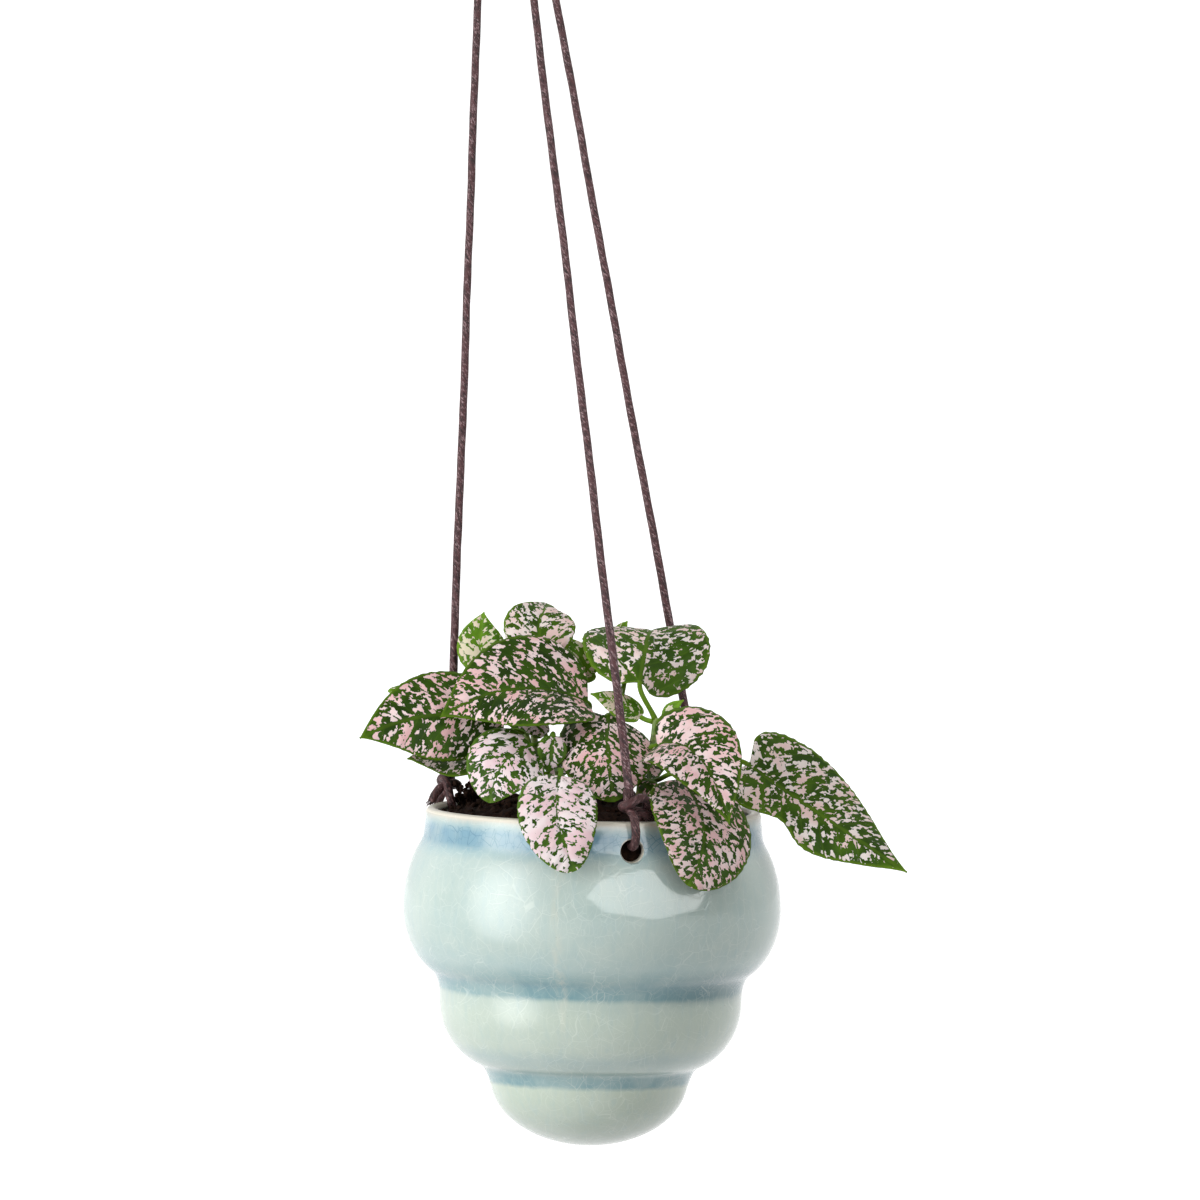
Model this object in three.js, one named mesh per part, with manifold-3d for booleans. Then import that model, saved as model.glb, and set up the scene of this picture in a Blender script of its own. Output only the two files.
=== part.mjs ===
// A polka dot plant growing in a small glazed hanging planter, hung on three waxed cords.
// Millimetres, +Z up, +X to the right and +Y to the back as seen from the front.
// The origin is the inside top of the hanging loop, where a hook bears.
import * as THREE from 'three';
import { mergeVertices } from 'three/addons/utils/BufferGeometryUtils.js';
import Module from 'manifold-3d';

const wasm = await Module();
wasm.setup();

// ---- driving dimensions ----
// The pot, the soil and the plant are laid out from the middle of the pot's rim.
const RIM_DROP = 425.5; // hook point down to the rim
const POT_SIDE = 42; // the pot hangs this far to the right of the hook point
const RIM_RADIUS = 57.6;
const WALL = 4;
const LIP_ROUND = 1.6;
const HOLE_RADIUS = 4;
const HOLE_DROP = 9.8; // rim down to the middle of a cord hole
const POT_SIDES = 32;
const CORD_RADIUS = 1.5;
const STEM_RADIUS = 1.3;
const STALK_RADIUS = 0.75; // a leaf's own stalk
const BLADE_THICK = 0.5;
const BLADE_TIP = 0.7; // width left at a leaf's tip
const GAP = 0.3; // clearance left where two pieces meet
const CORD_GAP = 0.8; // left between a cord's end and its knot

// Where the cords pass the rim, as angles from the front towards the right.
const CORD_ANGLES = { front: 13.2, left: -116, right: 139 };
// The gathering knot, from the middle of the rim.
const GATHER = new THREE.Vector3(-POT_SIDE, 0, 398);

const radians = THREE.MathUtils.degToRad;
const vector = (list) => new THREE.Vector3(...list);

// ---- materials ----
const finish = (color, roughness) => new THREE.MeshStandardMaterial({ color, roughness, metalness: 0 });
const GLAZE = finish(0xc9dbd3, 0.2);
const PEAT = finish(0x2b1d16, 0.95);
const WAXED_CORD = finish(0x4b3a3c, 0.6);
const STEM_GREEN = finish(0x5f7f2f, 0.55);
const LEAF_COLORS = {
  dark: finish(0x4f7a42, 0.5),
  pale: finish(0xe6d3d8, 0.5),
  young: finish(0x86a83a, 0.5),
};

const hanging = new THREE.Group();
const planter = new THREE.Group();
planter.position.set(POT_SIDE, 0, -RIM_DROP);
hanging.add(planter);

function place(name, geometry, material) {
  const mesh = new THREE.Mesh(geometry, material);
  mesh.name = name;
  planter.add(mesh);
}

// ---- joining and cutting ----
function toSolid(geometry) {
  const bare = geometry.clone();
  bare.deleteAttribute('normal');
  bare.deleteAttribute('uv');
  const merged = mergeVertices(bare, 1e-4);
  const vertProperties = new Float32Array(merged.attributes.position.array);
  const triVerts = new Uint32Array(merged.index.array);
  return new wasm.Manifold(new wasm.Mesh({ numProp: 3, vertProperties, triVerts }));
}

function toGeometry(solid) {
  const mesh = solid.getMesh();
  const geometry = new THREE.BufferGeometry();
  geometry.setAttribute('position', new THREE.BufferAttribute(mesh.vertProperties, 3));
  geometry.setIndex(new THREE.BufferAttribute(mesh.triVerts, 1));
  return geometry;
}

// ---- round shapes ----
// Adds part of an ellipse to a profile of [radius, height] points; angles run from the outward side up.
function ellipse(profile, centre, semiAxes, from, to, steps) {
  for (let i = 0; i <= steps; i += 1) {
    const angle = radians(from + ((to - from) * i) / steps);
    const radius = Math.max(centre[0] + semiAxes[0] * Math.cos(angle), 0);
    profile.push([radius, centre[1] + semiAxes[1] * Math.sin(angle)]);
  }
}

function turned(profile) {
  const points = profile.map(([radius, height]) => new THREE.Vector2(radius, height));
  const geometry = new THREE.LatheGeometry(points, POT_SIDES);
  return geometry.rotateX(Math.PI / 2);
}

// A round bar along a smooth path through the given points.
function bar(points, radius, sides, steps) {
  const outline = [];
  for (let i = 0; i < sides; i += 1) {
    const angle = (2 * Math.PI * i) / sides;
    outline.push(new THREE.Vector2(radius * Math.cos(angle), radius * Math.sin(angle)));
  }
  const path = new THREE.CatmullRomCurve3(points, false, 'centripetal');
  return new THREE.ExtrudeGeometry(new THREE.Shape(outline), {
    steps,
    bevelEnabled: false,
    extrudePath: path,
  });
}

// ---- the pot: three stepped tiers under a plain collar ----
const TIERS = {
  top: { centre: [45, -34], out: 20, up: 31.5, down: 25.6 },
  middle: { centre: [30, -66], out: 22, up: 24, down: 24 },
  bottom: { centre: [0, -93], out: 34, up: 23, down: 23 },
};

// Both faces of the wall follow the same tiers; inset is how far a face lies inside the glaze,
// and rounds is how many steps each curve takes. Runs from just under the rim down to the axis.
function tierProfile(inset, rounds) {
  const { top, middle, bottom } = TIERS;
  const profile = [];
  ellipse(profile, top.centre, [top.out - inset, top.up - inset], 45, 0, rounds);
  ellipse(profile, top.centre, [top.out - inset, top.down - inset], -18, -62, rounds);
  profile.push([52.2 - inset, -60.8 + inset / 2]);
  ellipse(profile, middle.centre, [middle.out - inset, middle.down - inset], -3, -70, rounds + 1);
  profile.push([34.8 - inset, -92.4 + inset]);
  ellipse(profile, bottom.centre, [bottom.out - inset, bottom.down - inset], -12, -90, rounds + 1);
  return profile;
}

function potShell() {
  const outside = tierProfile(0, 3);
  const inside = tierProfile(WALL, 2);
  const lipMiddle = [RIM_RADIUS - WALL / 2, -LIP_ROUND];
  const lip = [];
  ellipse(lip, lipMiddle, [WALL / 2, LIP_ROUND], 180, 0, 5);
  const profile = [...inside.reverse(), [54.2, -11], ...lip, [58.3, -9.5], ...outside];
  return turned(profile.reverse());
}

// A point beside the rim at a cord's angle: out is measured from the pot's axis.
function besideRim(angle, out, height, along = 0) {
  const turn = radians(angle);
  const x = out * Math.sin(turn) + along * Math.cos(turn);
  const y = -out * Math.cos(turn) + along * Math.sin(turn);
  return new THREE.Vector3(x, y, height);
}

function cordHole(angle) {
  const drill = new THREE.CylinderGeometry(HOLE_RADIUS, HOLE_RADIUS, 4 * WALL, 14);
  const middle = besideRim(angle, RIM_RADIUS, -HOLE_DROP);
  const outward = besideRim(angle, 1, 0);
  drill.applyQuaternion(new THREE.Quaternion().setFromUnitVectors(new THREE.Vector3(0, 1, 0), outward));
  return toSolid(drill.translate(middle.x, middle.y, middle.z));
}

let pot = toSolid(potShell());
for (const angle of Object.values(CORD_ANGLES)) {
  pot = pot.subtract(cordHole(angle));
}
place('pot', toGeometry(pot), GLAZE);

// ---- the cords' lower ends: over the rim, through the hole and knotted on themselves ----
const KNOT_HEIGHT = 4.4; // middle of a knot above the rim
const KNOT_SIZE = [4.6, 3.6, 3.7]; // half sizes along the rim, across it and up
const KNOT_OUT = 55.8;

function knotRoute(angle) {
  return [
    besideRim(angle, 57.6, 4.2),
    besideRim(angle, 59.8, 1.2),
    besideRim(angle, 60.6, -2.5),
    besideRim(angle, 60.4, -6),
    besideRim(angle, 58, -8.3),
    besideRim(angle, 54.5, -8.6),
    besideRim(angle, 51.8, -6.4),
    besideRim(angle, 51.3, -2.5),
    besideRim(angle, 52, 1.2),
    besideRim(angle, 54.2, 4.2),
  ];
}

const TAIL_RADIUS = 1.35;

// The tail of each cord, from its knot to the frayed tip, as out, height and along the rim.
const TAILS = {
  front: [[56.5, 4.6, 2], [55.2, 4.8, 5.5], [51.8, 3.6, 7.5], [50, 2.4, 4.5]],
  left: [[56.5, 4.4, 0], [59.5, 3.6, -2.6], [61.2, 0.6, -4.6], [61.8, -2.2, -5.6]],
  right: [[56.5, 4.4, 0], [59.5, 3.6, 2.6], [61.2, 0.6, 4.6], [61.8, -2.2, 5.6]],
};

function rimKnot(side) {
  const angle = CORD_ANGLES[side];
  const body = new THREE.SphereGeometry(1, 8, 6).scale(...KNOT_SIZE).rotateZ(radians(angle));
  const middle = besideRim(angle, KNOT_OUT, KNOT_HEIGHT);
  const tail = TAILS[side].map(([out, height, along]) => besideRim(angle, out, height, along));
  const knot = toSolid(body.translate(middle.x, middle.y, middle.z))
    .add(toSolid(bar(knotRoute(angle), CORD_RADIUS, 8, 12)))
    .add(toSolid(bar(tail, TAIL_RADIUS, 8, 4)));
  return toGeometry(knot);
}

// Each cord runs straight from the top of its rim knot to the gathering knot.
const GATHER_HALF = [6.5, 6, 9];
const GATHER_DROP = 9; // middle of the gathering knot below the meeting point

function cordEnds(side) {
  const low = besideRim(CORD_ANGLES[side], KNOT_OUT, KNOT_HEIGHT);
  const along = GATHER.clone().sub(low).normalize();
  const start = low.clone().addScaledVector(along, KNOT_SIZE[2] + CORD_GAP);
  const end = GATHER.clone().addScaledVector(along, -(GATHER_DROP + GATHER_HALF[2] + CORD_GAP));
  return [start, end];
}

for (const side of Object.keys(CORD_ANGLES)) {
  place(`knot_${side}`, rimKnot(side), WAXED_CORD);
  const [start, end] = cordEnds(side);
  const middle = start.clone().lerp(end, 0.5);
  place(`cord_${side}`, bar([start, middle, end], CORD_RADIUS, 8, 32), WAXED_CORD);
}

// ---- the gathering knot and the loop above it ----
const gatherBody = new THREE.SphereGeometry(1, 12, 10).scale(...GATHER_HALF);
place('gathering_knot', gatherBody.translate(GATHER.x, GATHER.y, GATHER.z - GATHER_DROP), WAXED_CORD);

// The loop's middle line, as side and height from the point where the cords would meet.
const LOOP_LEFT = [[-2.6, -0.3], [-6.5, 9], [-7.8, 17], [-4.8, 25.4]];
const LOOP_TOP = RIM_DROP + CORD_RADIUS - GATHER.z;
const LOOP_RIGHT = LOOP_LEFT.map(([x, z]) => [-x, z]).reverse();
const loopPath = [...LOOP_LEFT, [0, LOOP_TOP], ...LOOP_RIGHT]
  .map(([x, z]) => new THREE.Vector3(GATHER.x + x, GATHER.y, GATHER.z + z));
place('hanging_loop', bar(loopPath, CORD_RADIUS, 8, 20), WAXED_CORD);

// ---- the stems, rooted in the soil ----
// Each stem is a list of points: the foot in the soil, then the joints where leaves grow.
const STEMS = {
  centre: [[-4, 2, -16], [-3, 0, 14], [-2, 1, 29], [-6, 5, 43]],
  left: [[-16, -4, -16], [-20, -4, 13], [-24, -1, 26], [-27, 5, 37]],
  front: [[-12, -16, -16], [-12, -20, 7], [-12.5, -21, 15], [-16, -17, 24]],
  right: [[14, -5, -16], [16, -9, 11], [19.5, -12, 23], [20.8, -11, 31]],
  right_low: [[28, -8, -16], [30, -10, 3], [31, -10, 12]],
  back: [[6, 15, -16], [8, 19, 13], [5, 18, 27], [8, 20, 39]],
  back_left: [[-16, 14, -16], [-20, 16, 12], [-21, 16, 24]],
};

// The stem runs on a little past its last joint, to its growing tip.
function stemPath(name) {
  const path = STEMS[name].map(vector);
  const [below, last] = path.slice(-2);
  const end = last.clone().addScaledVector(last.clone().sub(below).normalize(), STEM_RADIUS);
  return [...path, end];
}

for (const name of Object.keys(STEMS)) {
  const path = stemPath(name);
  place(`stem_${name}`, bar(path, STEM_RADIUS, 8, 2 * path.length - 2), STEM_GREEN);
}

// ---- the soil: fills the pot, with room for the stems and for the cords' inner strands ----
// Out from the axis and up from the rim: the mounded surface, and a pocket for a cord's strand.
const SOIL_SURFACE = [[0, 4], [16, 3.6], [30, 2], [42, -0.4], [50, -2.4], [RIM_RADIUS - WALL - GAP, -3]];
const CORD_POCKET = [[60, -8.6], [54, -8.6], [51.4, -6.4], [51, -2.5], [51, 6]];
const POCKET_RADIUS = 2.7;

function soilBody() {
  const profile = [...SOIL_SURFACE, [53.8, -11], ...tierProfile(WALL + GAP, 2)];
  let soil = toSolid(turned(profile.reverse()));
  for (const name of Object.keys(STEMS)) {
    const socket = stemPath(name);
    socket[0].z -= GAP;
    soil = soil.subtract(toSolid(bar(socket, STEM_RADIUS + GAP, 8, 2 * socket.length - 2)));
  }
  for (const angle of Object.values(CORD_ANGLES)) {
    const path = CORD_POCKET.map(([out, height]) => besideRim(angle, out, height));
    soil = soil.subtract(toSolid(bar(path, POCKET_RADIUS, 8, 8)));
  }
  return toGeometry(soil);
}

place('soil', soilBody(), PEAT);

// ---- the leaves ----
const STALK_ROWS = 3;
const BLADE_ROWS = 9;
const AROUND = 8;
const LOBE = 0.22; // how far the base lobes reach back past the stalk, in half widths
const SOCKET = 0.06; // where on the midrib the blade's first row lies
const HANDLE = 0.35; // how firmly a stalk keeps its direction at both ends, in spans

// A point and a direction on the midrib, which passes through base, mid and tip.
function midrib(leaf, t) {
  const weights = [(1 - t) * (1 - 2 * t), 4 * t * (1 - t), t * (2 * t - 1)];
  const slopes = [4 * t - 3, 4 - 8 * t, 4 * t - 1];
  const point = new THREE.Vector3();
  const along = new THREE.Vector3();
  [leaf.base, leaf.mid, leaf.tip].forEach((corner, i) => {
    point.addScaledVector(vector(corner), weights[i]);
    along.addScaledVector(vector(corner), slopes[i]);
  });
  return { point, along: along.normalize() };
}

// The stalk leaves its stem squarely, just clear of it, and runs smoothly into the midrib.
function stalk(leaf) {
  const joint = vector(STEMS[leaf.stem][leaf.joint]);
  const { point, along } = midrib(leaf, 0);
  const reach = point.clone().sub(joint);
  const outward = leaf.out ? vector(leaf.out).normalize() : reach.clone().setZ(reach.z * 0.3).normalize();
  const start = joint.clone().addScaledVector(outward, STEM_RADIUS + 1.5 * GAP);
  const span = start.distanceTo(point);
  return new THREE.CubicBezierCurve3(
    start,
    start.clone().addScaledVector(outward, span * HANDLE),
    point.clone().addScaledVector(along, -span * HANDLE),
    point,
  );
}

// Half the blade's width at t, from a round base through the widest part to a pointed tip.
function halfWidth(leaf, t) {
  const power = THREE.MathUtils.lerp(0.55, leaf.blunt ? 0.6 : 1.05, t);
  const swell = Math.max(Math.sin(Math.PI * t ** (leaf.fullness ?? 0.8)), 0) ** power;
  return Math.max(leaf.width * swell, BLADE_TIP) / 2;
}

// Half of a blade's section, bent up by lift at the midrib and rolled down by curl towards the edge.
function section(half, lift, curl, across) {
  const bend = Math.abs(curl) < 0.01 ? 0.01 : curl;
  return {
    out: (half * (Math.sin(lift) - Math.sin(lift - bend * across))) / bend,
    rise: (half * (Math.cos(lift - bend * across) - Math.cos(lift))) / bend,
    slope: lift - bend * across,
  };
}

// lift holds the two halves' lift at the base and at the tip, curl the two halves' curl, in degrees;
// the first half of each pair is on the left as seen from the tip's side with the blade facing up.
function leafGeometry(leaf) {
  const { lift = [10, 10, 10, 10], curl = [25, 25], face } = leaf;
  const rows = STALK_ROWS + BLADE_ROWS;
  const geometry = new THREE.CylinderGeometry(1, 1, 1, AROUND, rows);
  const stalkPath = stalk(leaf);
  const corners = geometry.attributes.position;
  for (let i = 0; i < corners.count; i += 1) {
    const across = corners.getX(i);
    const over = corners.getZ(i);
    const row = Math.round((corners.getY(i) + 0.5) * rows);
    const spot = row <= STALK_ROWS
      ? stalkPoint(stalkPath, row / STALK_ROWS, across, over, face)
      : bladePoint(leaf, (row - STALK_ROWS) / BLADE_ROWS, across, over, { lift, curl, face });
    corners.setXYZ(i, spot.x, spot.y, spot.z);
  }
  geometry.deleteAttribute('normal');
  geometry.deleteAttribute('uv');
  return mergeVertices(geometry, 1e-4);
}

function stalkPoint(path, along, across, over, face) {
  const forward = path.getTangent(along);
  const side = forward.clone().cross(vector(face)).normalize();
  const normal = side.clone().cross(forward);
  return path.getPoint(along)
    .addScaledVector(side, across * STALK_RADIUS)
    .addScaledVector(normal, over * STALK_RADIUS);
}

function bladePoint(leaf, step, across, over, { lift, curl, face }) {
  const t = 0.5 - 0.5 * Math.cos(Math.PI * (SOCKET + (1 - SOCKET) * step));
  const { point, along } = midrib(leaf, t);
  const side = along.clone().cross(vector(face)).normalize();
  const normal = side.clone().cross(along);
  const right = across > 0 ? 1 : 0;
  const sign = right ? 1 : -1;
  const raised = radians(THREE.MathUtils.lerp(lift[right], lift[2 + right], t));
  const half = halfWidth(leaf, t);
  const bent = section(half, raised, radians(curl[right]), Math.abs(across));
  const ridge = 1 - Math.min(Math.abs(across) * 4, 1);
  const stalkSide = over < 0 ? STALK_RADIUS * (1 - t) * ridge : 0;
  const thick = over * (BLADE_THICK / 2 + stalkSide);
  const lobe = LOBE * half * Math.abs(across) ** 1.5 * (1 - t) ** 3;
  return point
    .addScaledVector(side, sign * (bent.out - thick * Math.sin(bent.slope)))
    .addScaledVector(normal, bent.rise + thick * Math.cos(bent.slope))
    .addScaledVector(along, -lobe);
}

// Each leaf: the stem and joint it grows from, its midrib's base, middle and tip, its greatest
// width, the way its upper side faces, and how its halves lift and curl.
const LEAVES = {
  far_left: {
    stem: 'left', joint: 2, base: [-31, -7, 30], mid: [-56, -12, 32], tip: [-80.5, -15, 24],
    width: 33, face: [-0.1, -0.95, 0.35], lift: [0, -5, 0, 5], curl: [20, 15], color: 'dark',
  },
  upper_left: {
    stem: 'centre', joint: 2, base: [-3, -7, 37], mid: [-28, -14, 41.5], tip: [-53, -20, 32],
    width: 44, fullness: 0.68, face: [0, -0.9, 0.45], lift: [72, 0, 20, 0], curl: [15, 20],
    out: [-0.8, -0.6, 0.5], color: 'dark',
  },
  top: {
    stem: 'centre', joint: 3, base: [-19, 7, 50], mid: [-19.5, 12, 64], tip: [-16, 25, 68.5],
    width: 25, face: [0, -0.8, 0.6], curl: [20, 20], out: [-1, 0.5, 0.5], color: 'dark',
  },
  top_left: {
    stem: 'left', joint: 3, base: [-38, 10, 47], mid: [-40, 14, 56], tip: [-39, 16, 66],
    width: 17, face: [-0.1, -0.95, 0.3], out: [-0.5, 0.9, 0.5], color: 'young',
  },
  left_tip: {
    stem: 'left', joint: 3, base: [-52, 5, 38], mid: [-62, 6, 39], tip: [-71.5, 7, 39],
    width: 11, face: [0.1, -0.5, 0.85], out: [-1, 0.2, -0.4], blunt: true, color: 'young',
  },
  low_left: {
    stem: 'left', joint: 1, base: [-37, -2, 19], mid: [-51, -4, 16.5], tip: [-64, -8, 17],
    width: 24, face: [0, -0.42, 0.9], out: [-1, 0.1, -0.1], color: 'pale',
  },
  front_left_round: {
    stem: 'front', joint: 3, base: [-22, -24, 23], mid: [-31.5, -33, 17], tip: [-35.5, -35, 4],
    width: 28, face: [-0.25, -0.9, 0.35], blunt: true, color: 'pale',
  },
  front_small: {
    stem: 'front', joint: 3, base: [-14.6, -25, 25], mid: [-15, -26.4, 20], tip: [-15.5, -26.4, 14],
    width: 8.6, face: [0.1, -0.95, 0.3], color: 'pale',
  },
  front_folded: {
    stem: 'front', joint: 3, base: [-17, -13, 26], mid: [-21, -12, 29], tip: [-26, -12, 29],
    width: 8, face: [0, 0.5, 0.85], color: 'pale',
  },
  front_tiny: {
    stem: 'front', joint: 1, base: [-17, -24, 13.5], mid: [-20, -25, 12.5], tip: [-23.5, -26, 10.5],
    width: 6, face: [0, -0.7, 0.7], out: [-1, -0.3, 0.1], color: 'young',
  },
  front_drooping: {
    stem: 'front', joint: 2, base: [-11.7, -44, 14], mid: [-11.8, -62, 1], tip: [-5.6, -68, -17],
    width: 30, face: [0, -0.9, 0.5], out: [0.1, -1, -0.05], blunt: true, color: 'pale',
  },
  centre: {
    stem: 'centre', joint: 2, base: [4.5, -12, 31], mid: [4.5, -28, 21], tip: [7, -34, 5],
    width: 35, face: [0, -0.85, 0.5], lift: [-15, -10, 0, 0], curl: [25, 20], out: [0.8, -0.8, 0],
    blunt: true, color: 'dark',
  },
  upright_small: {
    stem: 'right', joint: 3, base: [15.5, -9, 32.5], mid: [8, -9, 36.7], tip: [-1.6, -11, 40.5],
    width: 12, face: [0.2, -0.7, 0.7], color: 'young',
  },
  upper_right: {
    stem: 'right', joint: 3, base: [15, -10, 44.5], mid: [18, 10, 60], tip: [20, 30, 56],
    width: 45, face: [0, -0.4, 0.9], lift: [0, -55, 5, 45], curl: [10, 20], out: [0.2, 0.4, 1], color: 'dark',
  },
  top_tip: {
    stem: 'back', joint: 3, base: [5, 36, 54], mid: [8, 36.5, 59], tip: [10.5, 37, 62.5],
    width: 5, face: [0, -0.8, 0.5], out: [-0.3, 0.5, 1], color: 'young',
  },
  middle_pale: {
    stem: 'centre', joint: 3, base: [-1, 9, 45.5], mid: [-5.5, 9, 51.5], tip: [-10.5, 10, 58.5],
    width: 9, face: [0.2, -0.9, 0.3], color: 'pale',
  },
  right_arching: {
    stem: 'right', joint: 2, base: [21.5, -31, 24.5], mid: [35.5, -45, 21.5], tip: [46, -57, 0], width: 33,
    fullness: 0.7, face: [0.1, -0.9, 0.45], lift: [20, 45, 10, 20], curl: [20, 30], color: 'dark',
  },
  right_bud: {
    stem: 'right', joint: 3, base: [24.6, -13.6, 31], mid: [25.8, -14.6, 35.2], tip: [30, -15.4, 39],
    width: 6, face: [-0.4, -0.9, 0.2], out: [1, -0.6, 0.1], color: 'young',
  },
  right_low: {
    stem: 'right', joint: 1, base: [15.5, -19, 10.5], mid: [19, -24, 9], tip: [22.5, -28, 6],
    width: 7, face: [-0.3, -0.7, 0.7], out: [-0.2, -1, 0], color: 'dark',
  },
  right_hanging: {
    stem: 'right', joint: 1, base: [30, -35, 13], mid: [37.5, -52, -3], tip: [32, -62, -22],
    width: 40, face: [0.5, -0.8, 0.3], out: [0.8, -0.8, -0.2], blunt: true, color: 'dark',
  },
  far_right: {
    stem: 'right_low', joint: 2, base: [52.5, -19, 16], mid: [78, -28, 0], tip: [107, -34, -17],
    width: 39, fullness: 0.6, face: [0.15, -0.9, 0.4], lift: [0, 20, -25, 5], curl: [20, 30], color: 'dark',
  },
  back_left: {
    stem: 'centre', joint: 1, base: [-14, 18, 33], mid: [-27, 29, 37], tip: [-40, 40, 29],
    width: 27, face: [-0.3, 0.6, 0.75], out: [-0.4, 1, 0.3], color: 'dark',
  },
  back_low_left: {
    stem: 'back_left', joint: 1, base: [-28, 26, 19], mid: [-36, 38, 17], tip: [-41, 52, 5],
    width: 23, face: [-0.2, 0.4, 0.9], color: 'dark',
  },
  back_high_left: {
    stem: 'centre', joint: 3, base: [-16, 25, 46], mid: [-21, 38, 49], tip: [-26, 50, 43],
    width: 24, face: [0, 0.3, 0.95], out: [-0.2, 1, 0.2], color: 'dark',
  },
  back_middle: {
    stem: 'back', joint: 1, base: [-6, 31, 20], mid: [-10, 45, 18], tip: [-14, 61, 3],
    width: 23, face: [-0.1, 0.4, 0.9], color: 'pale',
  },
  back_right: {
    stem: 'back', joint: 1, base: [14, 30, 20], mid: [17, 44, 18], tip: [20, 60, 3],
    width: 24, face: [0.1, 0.4, 0.9], color: 'dark',
  },
  back_high_right: {
    stem: 'back', joint: 2, base: [10, 31, 43], mid: [11, 43, 46.5], tip: [12, 54, 42],
    width: 20, face: [0.1, 0.3, 0.95], out: [0.3, 1, 0], color: 'dark',
  },
  back_upper: {
    stem: 'right', joint: 2, base: [25, 14, 29], mid: [34, 26, 31], tip: [41, 38, 24],
    width: 20, face: [0.2, 0.3, 0.9], out: [0.6, 1, 0.3], color: 'young',
  },
  back_side: {
    stem: 'right_low', joint: 2, base: [44, 4, 11.5], mid: [57, 17, 12], tip: [68, 29, 1],
    width: 26, face: [0.3, 0.2, 0.9], out: [1, 0.8, 0.2], color: 'pale',
  },
};

for (const [name, leaf] of Object.entries(LEAVES)) {
  place(`leaf_${name}`, leafGeometry(leaf), LEAF_COLORS[leaf.color]);
}

export default hanging;
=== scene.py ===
"""A pink-spotted polka dot plant in a small crackle-glazed planter, hung on three waxed cords."""
import math
import random

import bmesh
import bpy
from mathutils import Matrix, Vector, noise


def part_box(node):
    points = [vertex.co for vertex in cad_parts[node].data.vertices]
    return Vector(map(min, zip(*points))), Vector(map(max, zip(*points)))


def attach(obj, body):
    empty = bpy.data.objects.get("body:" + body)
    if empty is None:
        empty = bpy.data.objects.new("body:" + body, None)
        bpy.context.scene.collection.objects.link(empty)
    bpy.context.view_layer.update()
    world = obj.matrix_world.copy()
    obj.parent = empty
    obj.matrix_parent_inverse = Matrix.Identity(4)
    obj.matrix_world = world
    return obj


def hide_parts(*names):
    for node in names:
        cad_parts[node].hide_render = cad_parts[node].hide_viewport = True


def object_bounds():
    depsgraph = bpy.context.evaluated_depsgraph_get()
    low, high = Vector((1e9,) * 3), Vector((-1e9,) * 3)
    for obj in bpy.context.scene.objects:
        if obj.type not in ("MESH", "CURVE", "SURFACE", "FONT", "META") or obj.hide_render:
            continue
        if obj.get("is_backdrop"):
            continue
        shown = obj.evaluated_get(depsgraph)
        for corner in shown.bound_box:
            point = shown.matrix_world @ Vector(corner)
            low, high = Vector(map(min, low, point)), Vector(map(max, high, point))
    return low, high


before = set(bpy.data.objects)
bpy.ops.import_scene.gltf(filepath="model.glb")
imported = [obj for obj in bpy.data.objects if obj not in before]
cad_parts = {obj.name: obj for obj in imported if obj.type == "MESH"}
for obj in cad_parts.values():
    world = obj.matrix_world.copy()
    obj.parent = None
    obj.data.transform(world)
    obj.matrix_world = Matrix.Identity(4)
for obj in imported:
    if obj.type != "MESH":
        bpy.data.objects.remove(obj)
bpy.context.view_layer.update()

# ---- camera ----
# A long lens a little above the rim, held a degree off level, so the pot seems to lean.
MM = 0.001
pot_low, pot_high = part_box("pot")
RIM = Vector(((pot_low.x + pot_high.x) / 2, (pot_low.y + pot_high.y) / 2, pot_high.z))
PHOTO_WIDE = 1200  # pixels
PIXEL = 0.343 * MM  # of the object to each pixel
LOOK_AT = RIM + Vector((0.9, 0, 71.8)) * MM
CAMERA_AWAY = 4.0
CAMERA_ABOVE = math.radians(3.4)
CAMERA_ROLL = math.radians(1.0)
SENSOR_WIDE = 36  # mm
VIEW_DEPTH = 200  # to beyond the white sweep's edge

lens = bpy.data.cameras.new("long_lens")
lens.sensor_width = SENSOR_WIDE
lens.lens = lens.sensor_width * CAMERA_AWAY / (PHOTO_WIDE * PIXEL)
lens.clip_end = VIEW_DEPTH
camera = bpy.data.objects.new("camera", lens)
bpy.context.scene.collection.objects.link(camera)
towards_camera = Vector((0, -math.cos(CAMERA_ABOVE), math.sin(CAMERA_ABOVE)))
camera.matrix_world = (
    Matrix.Translation(LOOK_AT + CAMERA_AWAY * towards_camera)
    @ Matrix.Rotation(math.pi / 2 - CAMERA_ABOVE, 4, "X")
    @ Matrix.Rotation(CAMERA_ROLL, 4, "Z")
)
bpy.context.scene.camera = camera


# ---- waxed cords ----
# Round waxed cotton cord, twisted and a little uneven, purple-brown with paler flecks of wax.
# Each of the three runs taut from the knot at its hole in the rim up to the gathering knot.
CORD_WIDE = 3 * MM  # lying slack
CORD_THICK = 2.65 * MM  # where it is pulled taut
CORD_ANGLES = {"front": 13.2, "left": -116, "right": 139}  # from the front towards the right
GATHER = Vector((0, 0, -27.5)) * MM  # where the cords' middle lines would meet
GATHER_HALF_HEIGHT = 9 * MM
CORD_END = 1.8 * GATHER_HALF_HEIGHT  # below that point, inside the whipping
KNOT_OUT, KNOT_HEIGHT = 55.8, 4.4  # the middle of a rim knot, in mm from the pot's axis and its rim
CORD_STEP = 1.5 * MM
CORD_SIDES = 20
CORD_LAY = 17.0  # mm along the cord for one turn of its twist
WANDER, WANDER_WAVES = 0.22, 7  # how far a cord strays from a straight line, in mm, and how often
STRAND_SWELL, STRAND_TWIST = 0.03, 140
UNEVEN, UNEVEN_WAVES = 0.06, 40  # shares of its radius, and how often along it


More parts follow.
